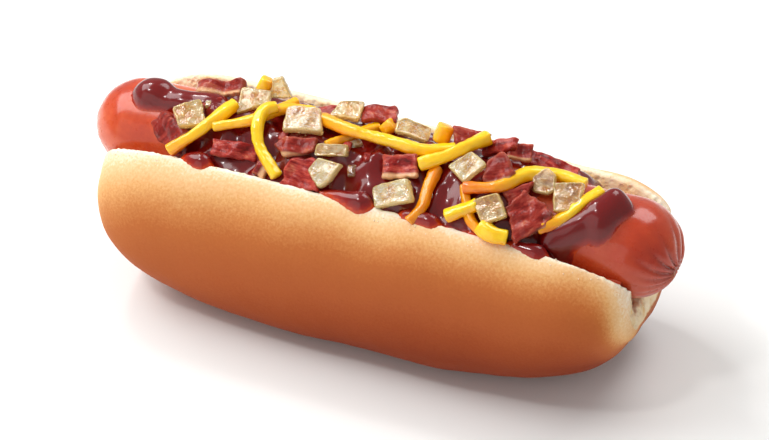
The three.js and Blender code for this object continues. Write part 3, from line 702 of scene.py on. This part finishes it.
def seat(points, at, lean, tip):
    # Turns local points down to the right by tip, then down to the front by lean, and moves them
    a, b = np.radians([lean, tip])
    leanTurn = np.array([[1, 0, 0], [0, np.cos(a), -np.sin(a)], [0, np.sin(a), np.cos(a)]])
    tipTurn = np.array([[np.cos(b), 0, np.sin(b)], [0, 1, 0], [-np.sin(b), 0, np.cos(b)]])
    return points @ (leanTurn @ tipTurn).T + np.array(at)


def cutOutline(corners, seed, shape):
    # Even points round the corners, whose turns are rounded by averaging, with an uneven edge
    corners = np.asarray(corners, float)
    x, y = corners.T
    if (x * np.roll(y, -1) - np.roll(x, -1) * y).sum() < 0:
        corners = corners[::-1]
    closed = np.concatenate([corners, corners[:1]])
    length = np.concatenate([[0], np.cumsum(np.linalg.norm(np.diff(closed, axis=0), axis=1))])
    wanted = np.linspace(0, length[-1], shape["around"], endpoint=False)
    line = np.stack([np.interp(wanted, length, closed[:, i]) for i in (0, 1)], 1)
    for _ in range(shape["rounds"]):
        line = (np.roll(line, 1, 0) + 2 * line + np.roll(line, -1, 0)) / 4
    depth, size = shape["rough"]
    return line * (1 + depth * relief(line, size, seed))[:, None]


def slabRings(outline, thick, edge):
    # A slab: rows from the middle of the top out to the rim, a quarter round on each side of it,
    # and rows in again below. Also how near each point is to the rim, from 0 to 1, and the side
    # that it is on, from 1 on top to -1 below.
    share = np.linspace(slab["firstRow"], 1, slab["faceRows"], endpoint=False)
    turn = np.radians(np.linspace(90, -90, slab["edgeRows"]))
    radius = np.linalg.norm(outline, axis=1)
    inset = 1 - edge / radius
    grow = np.concatenate([share[:, None] * inset, 1 - (1 - np.cos(turn))[:, None] * edge / radius,
                           share[::-1, None] * inset])
    face = np.ones(slab["faceRows"])
    side = np.concatenate([face, np.sign(np.sin(turn)) * np.abs(np.sin(turn)) ** slab["edgePower"], -face])
    near = np.concatenate([share, np.ones(slab["edgeRows"]), share[::-1]])
    near, side = [np.repeat(column[:, None], len(outline), 1) for column in (near, side)]
    return np.concatenate([grow[..., None] * outline, (side * thick / 2)[..., None]], 2), near, side


def alongAcross(rings, turn):
    # How far each point lies along a line turned by turn degrees, and across it
    a = np.radians(turn)
    x, y = rings[..., 0], rings[..., 1]
    return x * np.cos(a) + y * np.sin(a), y * np.cos(a) - x * np.sin(a)


onion = {
    # The outline's points, rounds of rounding, depth and size of its unevenness, and the reach of
    # the rounded edge
    "around": 72, "rounds": 4, "rough": (0.02, 2.6), "edge": 0.5,
    # Seeds of outlines and relief: the first die has the next number
    "outlineSeed": 50, "reliefSeed": 60, "relief": (0.12, 3.2),
    # The veins' depth, how close they are, and how they sway
    "veins": {"depth": 0.03, "pitch": 2.6, "sway": 1.2, "swayPitch": 0.5},
    # Depth of the hollow top and how flat it is, how golden the rim is (a painted glow of light through the
    # glassy edge) and where it starts, and how far apart the pieces' own coordinates lie
    "hollow": 0.2, "hollowPower": 8, "rim": 0.75, "rimFrom": 0.9, "apart": 31,
    # Share of painted glint specks on plain and on glistening dice, and the numbers of those
    "paintedGlint": (0.12, 0.85), "paintedGlintDice": (3, 4, 7, 8, 9, 10),
    # at, lean, tip, turn, thickness, bow, how fried, and the corners of the cut face
    "dice": (
        ((-49.5, -9.5, 55.5), 30, 10, 36, 2.7, 0.5, 0.4,
         ((-5.3, 0.5), (1.2, 5.4), (5.4, -1.4), (-1.3, -4.4))),
        ((-35, 0, 58.5), 28, 5, 10, 2.0, 0.4, 0.35, ((-4.9, 2.4), (3.7, 3.6), (4.2, -0.3), (-3.1, -5.7))),
        ((-30, 5, 61), 72, 10, 30, 2.2, 0.3, 0.05, ((-2.1, 2.2), (0.5, 3.2), (3.8, -2.1), (-2.2, -3.4))),
        ((-19, -4, 58.5), 26, 0, 10, 2.5, 0.5, 0.55, ((-5.7, 2.7), (3.4, 4.4), (6.5, -2.4), (-4.3, -4.6))),
        ((-9.5, 3, 59.5), 22, 5, 12, 2.0, 0.6, 0.35, ((-3.1, 1.8), (3.3, 4), (3.9, -2.3), (-4.1, -3.5))),
        ((-8.5, -9.5, 55.5), 52, 0, 8, 2.3, 0.3, 0.45,
         ((-4.4, 0.8), (3.9, 2.4), (4.8, -0.7), (-4.3, -2.5))),
        ((-8.5, -14.5, 52.2), 46, -10, 57, 2.3, 0.7, 0.25,
         ((-4.4, -0.8), (-2.2, 3.0), (4.8, 2.6), (3.2, -2.4), (0.2, -4.9))),
        ((11, -15.5, 51), 46, -12, 24, 2.5, 0.6, 0.1, ((-6.3, 0.6), (3.3, 4.8), (6.5, -0.8), (-3.7, -4.7))),
        ((8, 3, 58.5), 32, 20, -6, 2.5, 0.4, 0.05,
         ((-4.1, 0.2), (-2.7, 2.3), (5.1, 2), (5.4, -2), (-3.7, -2.4))),
        ((27.5, -6.5, 58), 40, 0, 52, 2.5, 0.4, 0.15, ((-5.1, -1.3), (-0.1, 4.2), (4.8, 1.6), (0.4, -4.5))),
        ((36.5, -14, 52.5), 46, 0, 33, 2.5, 0.6, 0.5, ((-5.2, 1), (1, 4.5), (4.9, -0.9), (-0.8, -4.6))),
        ((47, -3.5, 56.5), 44, 0, 15, 2.3, 0.4, 0.8,
         ((-3.6, 0.8), (-0.6, 3.9), (2.1, 2.7), (3.2, -1.2), (1.4, -3.1), (-2.5, -3))),
        ((53.5, -5.5, 55), 36, 0, 14, 2.3, 0.4, 0.9, ((-4.6, 2.7), (3.2, 4.9), (3.8, -3), (-2.4, -4.6))),
    ),
}


def makeOnions():
    # Rounded slabs bent up along their middle, whose top is hollow and combed by the layer's veins
    finish = onionFinish()
    depth, size = onion["relief"]
    vein = onion["veins"]
    for number, (at, lean, tip, turn, thick, bow, fried, corners) in enumerate(onion["dice"], 1):
        outline = cutOutline(corners, onion["outlineSeed"] + number, onion)
        rings, near, side = slabRings(outline, thick, onion["edge"])
        along, across = alongAcross(rings, turn)
        bend = bow * (1 - (along / np.abs(along).max()) ** 2)
        sway = vein["sway"] * np.sin(vein["swayPitch"] * along + number)
        veins = vein["depth"] * np.cos(vein["pitch"] * across + sway) * (side > 0.9) * (near < 0.97)
        hollow = onion["hollow"] * (1 - near ** onion["hollowPower"]) * (side > 0.5)
        uneven = depth * relief(rings, size, onion["reliefSeed"] + number)
        rings[..., 2] += bend + veins - hollow + uneven
        own = np.stack([along + onion["apart"] * number, across, rings[..., 2]], 2)
        # The golden rim: painted glow of light through the glassy edge
        edge = onion["rim"] * ease(near, onion["rimFrom"], 1)
        # The share of painted glint specks
        paintedGlint = onion["paintedGlint"][number in onion["paintedGlintDice"]]
        points = seat(withHubs(rings), at, lean, tip)
        even = np.ones(len(points))
        makePiece(f"onionDie{number}", points, ringFaces(*rings.shape[:2]), [f"onion_{number}"],
                  finish, {"own": withHubs(own), "edge": noteHubs(edge), "brown": fried * even,
                           "paintedGlint": paintedGlint * even})


makeOnions()
print("onions done")


bacon = {
    # As for the onions. Shift moves the streaks of each piece across.
    "around": 84, "rounds": 4, "rough": (0.045, 2.6), "edge": 0.6,
    "outlineSeed": 80, "reliefSeed": 110, "relief": (0.22, 3.4), "apart": 37, "shift": 5,
    # Crinkles: how far each piece's waves are shifted, and the smaller waves across them
    "phase": 1.9, "cross": 0.3, "crossWaves": 3,
    # The fat rim fades out over a band that its share sets, and shows a little all round
    "fat": {"most": 0.85, "out": 2.2, "full": (1.02, 1.3), "around": 0.3, "from": 0.86},
    # Mean tone, how much the pieces differ in it, and in what rhythm
    "tone": (0.36, 0.2, 2.4),
    # at, lean, tip, turn, thickness, wave, crinkles, fat (share of the width that is fat rim), and
    # the corners of the face, or its length and width
    "pieces": (
        ((-55, -12, 51), 46, -16, 50, 2.0, 0.7, 1.0, 0.1,
         ((-6.9, 1.4), (-1.7, 5.4), (7.4, 0.9), (3.4, -4.2), (-2.4, -3.3))),
        ((-51.5, -8, 52), 40, 0, 20, 2.0, 0.3, 1.0, 0.3, (7, 4.5)),
        ((-47, 3.5, 57.5), 34, 0, 8, 2.0, 0.9, 1.6, 0.35,
         ((-7.5, 0.6), (6.8, 3.9), (6.7, -1.2), (-6.2, -3.3))),
        ((-46, -3, 55.5), 24, 8, 30, 2.4, 0.3, 1.0, 0.0, (5.6, 4)),
        ((-34.5, -13.5, 51.2), 44, 6, 6, 2.0, 0.5, 1.4, 0.0, (12.5, 4.6)),
        ((-18.5, -10, 54.5), 42, 0, 10, 2.4, 0.6, 1.5, 0.2,
         ((-6.2, -1), (-3.6, 1.7), (5.6, 3.3), (5.8, -0.3), (-1.7, -3.7))),
        ((-14.5, -15.5, 50.5), 50, 0, 0, 2.0, 0.6, 1.0, 0.0,
         ((-4.3, 3.1), (3, 4.8), (5.9, -3.6), (-4.7, -4.3))),
        ((-15, 2.5, 57.5), 20, 0, 20, 2.0, 0.4, 1.0, 0.1, (6.4, 5)),
        ((-1.5, 5, 59.5), 26, 0, 8, 2.2, 0.6, 1.3, 0.1, ((-5.4, 1.2), (3.9, 4), (5.6, -1.8), (-4.2, -3.3))),
        ((10.5, -9.5, 55.5), 46, 0, 14, 2.2, 0.4, 1.0, 0.25,
         ((-5.3, 1.7), (3.4, 4.2), (5.6, -1.6), (-3.8, -4.3))),
        ((23.5, 4, 59.5), 42, 6, 0, 2.2, 0.4, 1.0, 0.05,
         ((-4.9, 2.2), (5.6, 2.2), (2.3, -1.3), (-3, -3.1))),
        ((32, 3.5, 59), 44, -28, 14, 2.4, 0.4, 1.0, 0.0, (10.6, 3.8)),
        ((37.5, 3.5, 59), 40, 18, 10, 2.2, 0.3, 1.0, 0.2, (6.4, 4.6)),
        ((35.5, -5.5, 58.5), 40, 0, 26, 2.2, 0.5, 1.0, 0.25,
         ((-3.8, 2), (0, 5), (4.3, 0.2), (2.9, -2.7), (-3.4, -4.5))),
        ((45, 6, 55.5), 20, 10, -4, 2.0, 0.4, 1.6, 0.0, (15, 4.4)),
        ((46, -12.5, 52.2), 46, 6, 52, 2.2, 0.6, 1.0, 0.15,
         ((-6, 0.5), (-3, 5.9), (5.5, 2.9), (5.1, -1.2), (-1.6, -8))),
        ((41.5, -8, 54.4), 44, 0, 34, 2.0, 0.3, 1.0, 0.1, ((-4.2, -0.2), (2.9, 4), (2.4, 0.3), (-1, -4.1))),
        ((-25.5, -16, 49.3), 46, 4, 70, 2.4, 0.3, 1.0, 0.5, (4.6, 3.6)),
    ),
}


def boxCorners(size, turn):
    # Corners of a plain rectangle turned by turn degrees
    a = np.radians(turn)
    half = np.array([[-1, -1], [1, -1], [1, 1], [-1, 1]]) * np.array(size) / 2
    return half @ np.array([[np.cos(a), np.sin(a)], [-np.sin(a), np.cos(a)]])


def makeBacon():
    # Thin slabs with crinkles across them, fibres along them, torn edges and a pale fat rim
    finish = baconFinish()
    depth, size = bacon["relief"]
    rim = bacon["fat"]
    tone, toneShare, toneRhythm = bacon["tone"]
    for number, (at, lean, tip, turn, thick, wave, crinkles, fat, face) in enumerate(bacon["pieces"], 1):
        corners = boxCorners(face, turn) if len(face) == 2 else face
        outline = cutOutline(corners, bacon["outlineSeed"] + number, bacon)
        rings, near, _ = slabRings(outline, thick, bacon["edge"])
        along, across = alongAcross(rings, turn)
        u, v = along / np.abs(along).max(), across / np.abs(across).max()
        phase = bacon["phase"] * (number - 1)
        crinkle = np.sin(np.pi * crinkles * u + phase)
        crinkle += bacon["cross"] * np.sin(bacon["crossWaves"] * v + phase)
        rings[..., 2] += wave * crinkle + depth * relief(rings, size, bacon["reliefSeed"] + number)
        shift = bacon["shift"] * np.sin(number)
        own = np.stack([along + bacon["apart"] * number, across + shift, rings[..., 2]], 2)
        band = ease(-v, 1 - rim["out"] * fat, rim["full"][0] - rim["full"][1] * fat) * (fat > 0)
        band = np.clip(band + rim["around"] * fat * ease(near, rim["from"], 1), 0, 1)
        points = seat(withHubs(rings), at, lean, tip)
        even = np.ones(len(points))
        makePiece(f"baconBit{number}", points, ringFaces(*rings.shape[:2]), [f"bacon_{number}"],
                  finish, {"own": withHubs(own), "fat": noteHubs(rim["most"] * band),
                           "tone": (tone + toneShare * np.sin(toneRhythm * number)) * even})


makeBacon()
print("bacon done")


# Cheese

cheese = {
    # Points round a shred, steps between two bends of its line, the distance between its rings and
    # the fewest of them, and how square it is
    "around": 28, "perSpan": 14, "step": 0.45, "fewest": 14, "squareness": 3.2,
    # Where the rings of an end stand, past which distance the even ones start, and how its edge
    # is rounded: over what length, by how much and how sharply
    "endRings": (0, 0.02, 0.08, 0.2, 0.38), "evenFrom": 0.6, "soft": (0.4, 0.28, 2.5),
    # Width and height of the section, its twist and over what length it changes, and the swells of
    # its size: share, length and shift. Its height points to upright.
    "wide": 1.02, "tall": 0.95, "twist": (0.35, 9), "swells": ((0.07, 3.1, 2), (0.04, 1.3, 0)),
    "relief": (0.05, 1.6), "reliefSeed": 140, "upright": (0.0, 0.35, 1.0),
    # Orange of a plain shred, what depth in the sauce adds, and the painted shade that its own underside adds
    "plain": 0.12, "deepShare": 0.5, "below": 0.3, "belowFrom": (-0.2, 1), "stainAt": (0.45, 0.85),
    # Shreds that look darker, being half under the sauce
    "deep": {2: 0.25, 5: 0.45, 8: 0.45, 9: 0.4, 10: 0.85, 12: 0.75, 16: 0.35},
    # How much sauce stains the first half of a shred
    "stains": {1: 0.2, 4: 0.2, 6: 0.25, 14: 0.5, 15: 0.3},
    # Width of the shred and the bends of its middle line
    "shreds": (
        (3.2, ((-52, -17.5, 49), (-47, -14.5, 52.6), (-42.5, -9.3, 56.2), (-39, -3, 58.4))),
        (2.8, ((-42, -11, 55), (-32, -6.5, 57.2), (-25.5, -1.5, 59.2), (-17.5, 0, 59.2))),
        (3.0,
         ((-27, -3, 60.4), (-29.4, -5.2, 60), (-29.8, -8.6, 58.4), (-28, -12.6, 54.6), (-20.6, -17.6, 49.2))),
        (3.7, ((-35, 4, 58.8), (-33.6, 5.4, 62.6))),
        (2.9, ((-28, -1.8, 57.8), (-24, 3.4, 59))),
        (3.3,
         ((-15.5, -1, 58.6), (-7.5, -3.4, 58.8), (5.5, -3.8, 58.4), (14, -3.6, 57.8), (21.5, 0.5, 57.6))),
        (3.5, ((14.8, -8, 56.4), (20.4, -5.2, 58.4), (25, -1, 60.2), (29, 4, 61))),
        (2.7, ((-11, -8, 55.4), (-6, -2.6, 56.4), (-0.5, 3, 57.4))),
        (3.7, ((1.2, 1.5, 57), (3.6, 2.6, 59.6))),
        (2.8, ((19.2, -6.4, 55.6), (19, -12, 53), (19, -16.2, 49.8), (16.8, -19.8, 47))),
        (3.3, ((25.6, -17.2, 49.4), (32.8, -13.4, 52.6))),
        (2.3, ((27.4, -9.2, 54.2), (29.6, -12.8, 51.8), (32, -16, 49.2), (35.4, -18, 47.8))),
        (4.1, ((35, -17.2, 49.2), (38.5, -18.4, 48.4), (42.4, -17.8, 48))),
        (3.3, ((27.8, -10.6, 54.4), (36.5, -8.6, 56), (42, -3, 57.6), (48.5, 0, 57.2), (56.5, -0.4, 56.4))),
        (3.2, ((48.5, -13.6, 49.6), (54, -9.6, 51.8), (57.4, -5.6, 54.6), (61, -1, 56.4))),
        (4.1, ((16.2, 2.6, 57), (17.4, 4.6, 61.4))),
    ),
}


def smoothLine(points):
    # Centripetal Catmull-Rom curve through the points, each span a cubic between end slopes
    p = np.asarray(points, float)
    p = np.concatenate([[2 * p[0] - p[1]], p, [2 * p[-1] - p[-2]]])
    dt = np.sqrt(np.linalg.norm(np.diff(p, axis=0), axis=1))[:, None]
    a, b, c, d = p[:-3], p[1:-2], p[2:-1], p[3:]
    da, db, dc = dt[:-2], dt[1:-1], dt[2:]
    start = ((b - a) / da - (c - a) / (da + db) + (c - b) / db) * db
    end = ((c - b) / db - (d - b) / (db + dc) + (d - c) / dc) * db
    t = np.linspace(0, 1, cheese["perSpan"], endpoint=False)[:, None, None]
    line = ((2 * t**3 - 3 * t**2 + 1) * b + (t**3 - 2 * t**2 + t) * start + (3 * t**2 - 2 * t**3) * c
            + (t**3 - t**2) * end)
    return np.concatenate([line.transpose(1, 0, 2).reshape(-1, 3), p[-2:-1]])


def makeCheese():
    # A rounded box section carried along each line, thicker and thinner on its way, cut square with
    # soft edges at both ends
    finish = cheeseFinish()
    around = np.radians(np.linspace(0, 360, cheese["around"], endpoint=False))
    ends = np.array(cheese["endRings"])
    softOver, softBy, softPower = cheese["soft"]
    turn, turnLength = cheese["twist"]
    depth, bumps = cheese["relief"]
    for number, (width, through) in enumerate(cheese["shreds"], 1):
        line = smoothLine(through)
        length = np.concatenate([[0], np.cumsum(np.linalg.norm(np.diff(line, axis=0), axis=1))])
        even = np.linspace(0, length[-1], max(cheese["fewest"], int(length[-1] / cheese["step"])))
        even = even[(even > cheese["evenFrom"]) & (even < length[-1] - cheese["evenFrom"])]
        even = np.concatenate([ends, even, length[-1] - ends[::-1]])
        line = np.stack([np.interp(even, length, line[:, i]) for i in range(3)], 1)
        way = np.gradient(line, even, axis=0)
        way /= np.linalg.norm(way, axis=1, keepdims=True)
        side = np.cross(way, cheese["upright"])
        side /= np.linalg.norm(side, axis=1, keepdims=True)
        up = np.cross(side, way)
        toEnd = np.minimum(even, even[-1] - even)
        soft = 1 - softBy * (1 - np.clip(toEnd / softOver, 0, 1)) ** softPower
        swell = 1 + sum(rise * np.sin(even / wave + shift * number) for rise, wave, shift in cheese["swells"])
        reach = width / 2 * cheese["wide"] * soft * swell
        reach = reach[:, None] * boxSection(around, cheese["squareness"])
        angle = around + turn * np.sin(even / turnLength + number)[:, None]
        across, rise = np.cos(angle)[..., None] * side[:, None], np.sin(angle)[..., None] * up[:, None]
        rings = line[:, None] + reach[..., None] * (across + cheese["tall"] * rise)
        rings += gridNormals(rings) * (depth * relief(rings, bumps, cheese["reliefSeed"] + number))[..., None]
        stainAndShade = cheese["plain"] + cheese["deepShare"] * cheese["deep"].get(number, 0)
        # Painted shade: the underside of each shred is made more orange
        stainAndShade = stainAndShade + cheese["below"] * ease(-np.sin(angle), *cheese["belowFrom"])
        stain = cheese["stains"].get(number, 0) * ease(1 - even / even[-1], *cheese["stainAt"])
        makePiece(f"cheeseShred{number}", withHubs(rings), ringFaces(*rings.shape[:2]),
                  [f"cheese_{number}"], finish, {"stainAndShade": noteHubs(stainAndShade + stain[:, None])})


makeCheese()
print("cheese done")


# Small scraps in the sauce, and crumbs

scrap = {
    # Points of the form, how square, blunt, narrow and flat it is, its relief, how much it is tipped
    # at random, how many points of the sauce give its height, and how far apart the coordinates lie
    "rows": 15, "around": 26, "squareness": 6, "roundness": 0.4, "narrow": 0.7, "flat": 0.26,
    "relief": (0.1, 2.4), "reliefSeed": 200, "seed": 7, "tip": 14, "nearest": 9, "apart": 40,
    # Material, slot and how fried each kind is, and the tone and the painted glint specks of all
    "kinds": {"onion": ("friedOnion", "onion", 0.2), "amber": ("friedOnion", "onion", 1.8),
              "bacon": ("cookedBacon", "bacon", 0.2)},
    "tone": 0.5, "paintedGlint": 0.3,
    # x, y, size and kind
    "places": (
        (-4.3, -4.6, 3.4, "onion"), (-2.2, -11.2, 3.4, "amber"), (0.9, -8.6, 2.6, "bacon"),
        (-55.3, -8.5, 2.6, "amber"), (-51.6, -12.4, 2.6, "bacon"), (-46.6, -4.4, 2.4, "onion"),
        (-5.3, -7.4, 3.2, "bacon"), (-11.8, -10.8, 3.0, "bacon"), (19.6, -12.4, 2.2, "amber"),
        (41.6, 8.1, 2.8, "bacon"), (-23.0, -8.0, 3.2, "bacon"), (6.2, -7.0, 2.6, "amber"),
        (30.5, -12.2, 2.6, "bacon"), (24.8, 8.6, 3.0, "bacon"), (-37.0, 8.6, 3.0, "bacon"),
        (-6.0, 10.4, 3.2, "onion"), (8.0, 9.8, 3.2, "bacon"), (-24.0, 10.2, 3.0, "amber"),
        (35.0, 9.0, 2.6, "onion"), (-52.0, 5.0, 2.6, "bacon"),
    ),
}
# Steps: how many points in from the rim they lie. inFrom: rings that stay free past each cap.
crumbs = {"count": 90, "size": (0.14, 0.32), "uneven": (0.7, 1.2), "steps": 4, "inFrom": 12, "seed": 11,
          "bake": 0.1, "line": 0.5}


def makeScraps():
    # Rounded lumps, longer than wide, pressed flat and half sunk where they lie on the sauce
    draw = np.random.default_rng(scrap["seed"])
    turn = np.radians(np.linspace(90, -90, scrap["rows"]))[1:-1, None]
    angle = np.radians(np.linspace(0, 360, scrap["around"], endpoint=False))[None]
    depth, bumps = scrap["relief"]
    for number, (x, y, size, kind) in enumerate(scrap["places"], 1):
        reach = np.cos(turn) ** scrap["roundness"] * boxSection(angle, scrap["squareness"]) * size / 2
        high = np.broadcast_to(scrap["flat"] * size * np.sin(turn), reach.shape)
        rings = np.stack([reach * np.cos(angle), scrap["narrow"] * reach * np.sin(angle), high], 2)
        rings = rings * (1 + depth * relief(rings, bumps, scrap["reliefSeed"] + number))[..., None]
        a = draw.uniform(0, fullTurn)
        rings = rings @ np.array([[np.cos(a), np.sin(a), 0], [-np.sin(a), np.cos(a), 0], [0, 0, 1]])
        distance = np.hypot(sauceTop[:, 0] - x, sauceTop[:, 1] - y)
        top = sauceTop[np.argsort(distance)[:scrap["nearest"]], 2].mean()
        lean = np.degrees(np.arctan(-2 * sauce["mound"]["curve"] * y))
        points = seat(withHubs(rings), (x, y, top), lean, draw.uniform(-scrap["tip"], scrap["tip"]))
        material, slot, brown = scrap["kinds"][kind]
        even = np.ones(len(points))
        makePiece(f"{kind}Scrap{number}", points, ringFaces(*rings.shape[:2]), [],
                  bpy.data.materials[material],
                  {"own": withHubs(rings) + scrap["apart"] * number, "edge": 0 * even, "fat": 0 * even,
                   "paintedGlint": scrap["paintedGlint"] * even, "brown": brown * even, "tone": scrap["tone"] * even})


def makeCrumbs():
    # Tiny eight-sided lumps scattered along the front rim
    draw = np.random.default_rng(crumbs["seed"])
    count, inFrom = crumbs["count"], bun["capRings"] + crumbs["inFrom"]
    rows = draw.integers(inFrom, len(bunRings) - inFrom, count)
    place = bunRings[rows, draw.integers(0, crumbs["steps"], count)]
    corners = np.array([[1, 0, 0], [0, 1, 0], [-1, 0, 0], [0, -1, 0], [0, 0, 1], [0, 0, -1]], float)
    faces = np.array([[0, 1, 4], [1, 2, 4], [2, 3, 4], [3, 0, 4], [1, 0, 5], [2, 1, 5], [3, 2, 5], [0, 3, 5]])
    size = draw.uniform(*crumbs["size"], (count, 1, 1)) * draw.uniform(*crumbs["uneven"], (count, 6, 1))
    points = (place[:, None] + corners * size).reshape(-1, 3)
    faces = (faces + 6 * np.arange(count)[:, None, None]).reshape(-1, 3)
    even = np.ones(len(points))
    makePiece("rimCrumbs", points, [faces], [], bpy.data.materials["bread"],
              {"bake": crumbs["bake"] * even, "crumb": 0 * even, "rimLine": crumbs["line"] * even})


makeScraps()
makeCrumbs()
print("scraps done")


# Floor, light and camera

studio = {
    "floor": 3.0, "floorColour": (244, 244, 242), "world": 0.44,
    # name, size, strength, place and aim, in metres
    "lamps": (("keyPanel", 0.5, 3.7, (-0.46, -0.04, 0.58), (0, 0, 0.04)),
              ("backPanel", 0.34, 1.6, (0.14, 0.34, 0.56), (0.05, 0, 0.04)),
              ("frontPanel", 0.9, 1.9, (-0.35, -0.95, 0.28), (0, 0, 0.03)),
              ("glintPanel", 0.08, 0.8, (-0.22, -0.31, 0.66), (0, 0, 0.05)),
              ("sidePanel", 0.08, 0.6, (-0.33, 0.2, 0.6), (0, 0, 0.05))),
    # The camera looks at the target, in millimetres, from azimuth degrees round to the right and
    # elevation degrees up
    "target": (2.0, 0.0, 30.1), "azimuth": 23.0, "elevation": 36.0, "distance": 483.0,
    "lens": 85.0, "sensor": 36.0, "clip": (0.01, 20),
}


def aimed(name, data, place, aim):
    # An object at a place in metres that looks at the aim
    made = bpy.data.objects.new(name, data)
    made.location = place
    made.rotation_euler = (Vector(aim) - Vector(place)).to_track_quat("-Z", "Y").to_euler()
    bpy.context.scene.collection.objects.link(made)
    return made


def makeStudio():
    # A square floor round the origin, the lamps, and an even white world
    half = studio["floor"] / 2
    mesh = bpy.data.meshes.new("floor")
    corners = [(-half, -half, 0), (half, -half, 0), (half, half, 0), (-half, half, 0)]
    mesh.from_pydata(corners, [], [(0, 1, 2, 3)])
    floor = bpy.data.objects.new("floor", mesh)
    bpy.context.scene.collection.objects.link(floor)
    paper = Finish("palePaper", Roughness=0.9, Base_Color=tint(*studio["floorColour"]))
    mesh.materials.append(paper.material)
    for name, size, strength, place, aim in studio["lamps"]:
        light = bpy.data.lights.new(name, "AREA")
        light.shape, light.size, light.energy = "SQUARE", size, strength
        aimed(name, light, place, aim)
    world = bpy.data.worlds.new("studioWorld")
    world.use_nodes = True
    back = world.node_tree.nodes["Background"]
    back.inputs["Color"].default_value = (1, 1, 1, 1)
    back.inputs["Strength"].default_value = studio["world"]
    bpy.context.scene.world = world
    bpy.context.scene.view_settings.view_transform = "Standard"


def makeCamera():
    # Steps back from the target along a line turned by azimuth and raised by elevation
    a, e = np.radians([studio["azimuth"], studio["elevation"]])
    away = np.array([np.sin(a) * np.cos(e), -np.cos(a) * np.cos(e), np.sin(e)])
    target = np.array(studio["target"]) * mm
    camera = bpy.data.cameras.new("camera")
    camera.lens, camera.sensor_width, camera.sensor_fit = studio["lens"], studio["sensor"], "HORIZONTAL"
    camera.clip_start, camera.clip_end = studio["clip"]
    bpy.context.scene.camera = aimed("camera", camera, target + away * studio["distance"] * mm, target)


makeStudio()
makeCamera()
print("studio done")

bpy.context.view_layer.update()
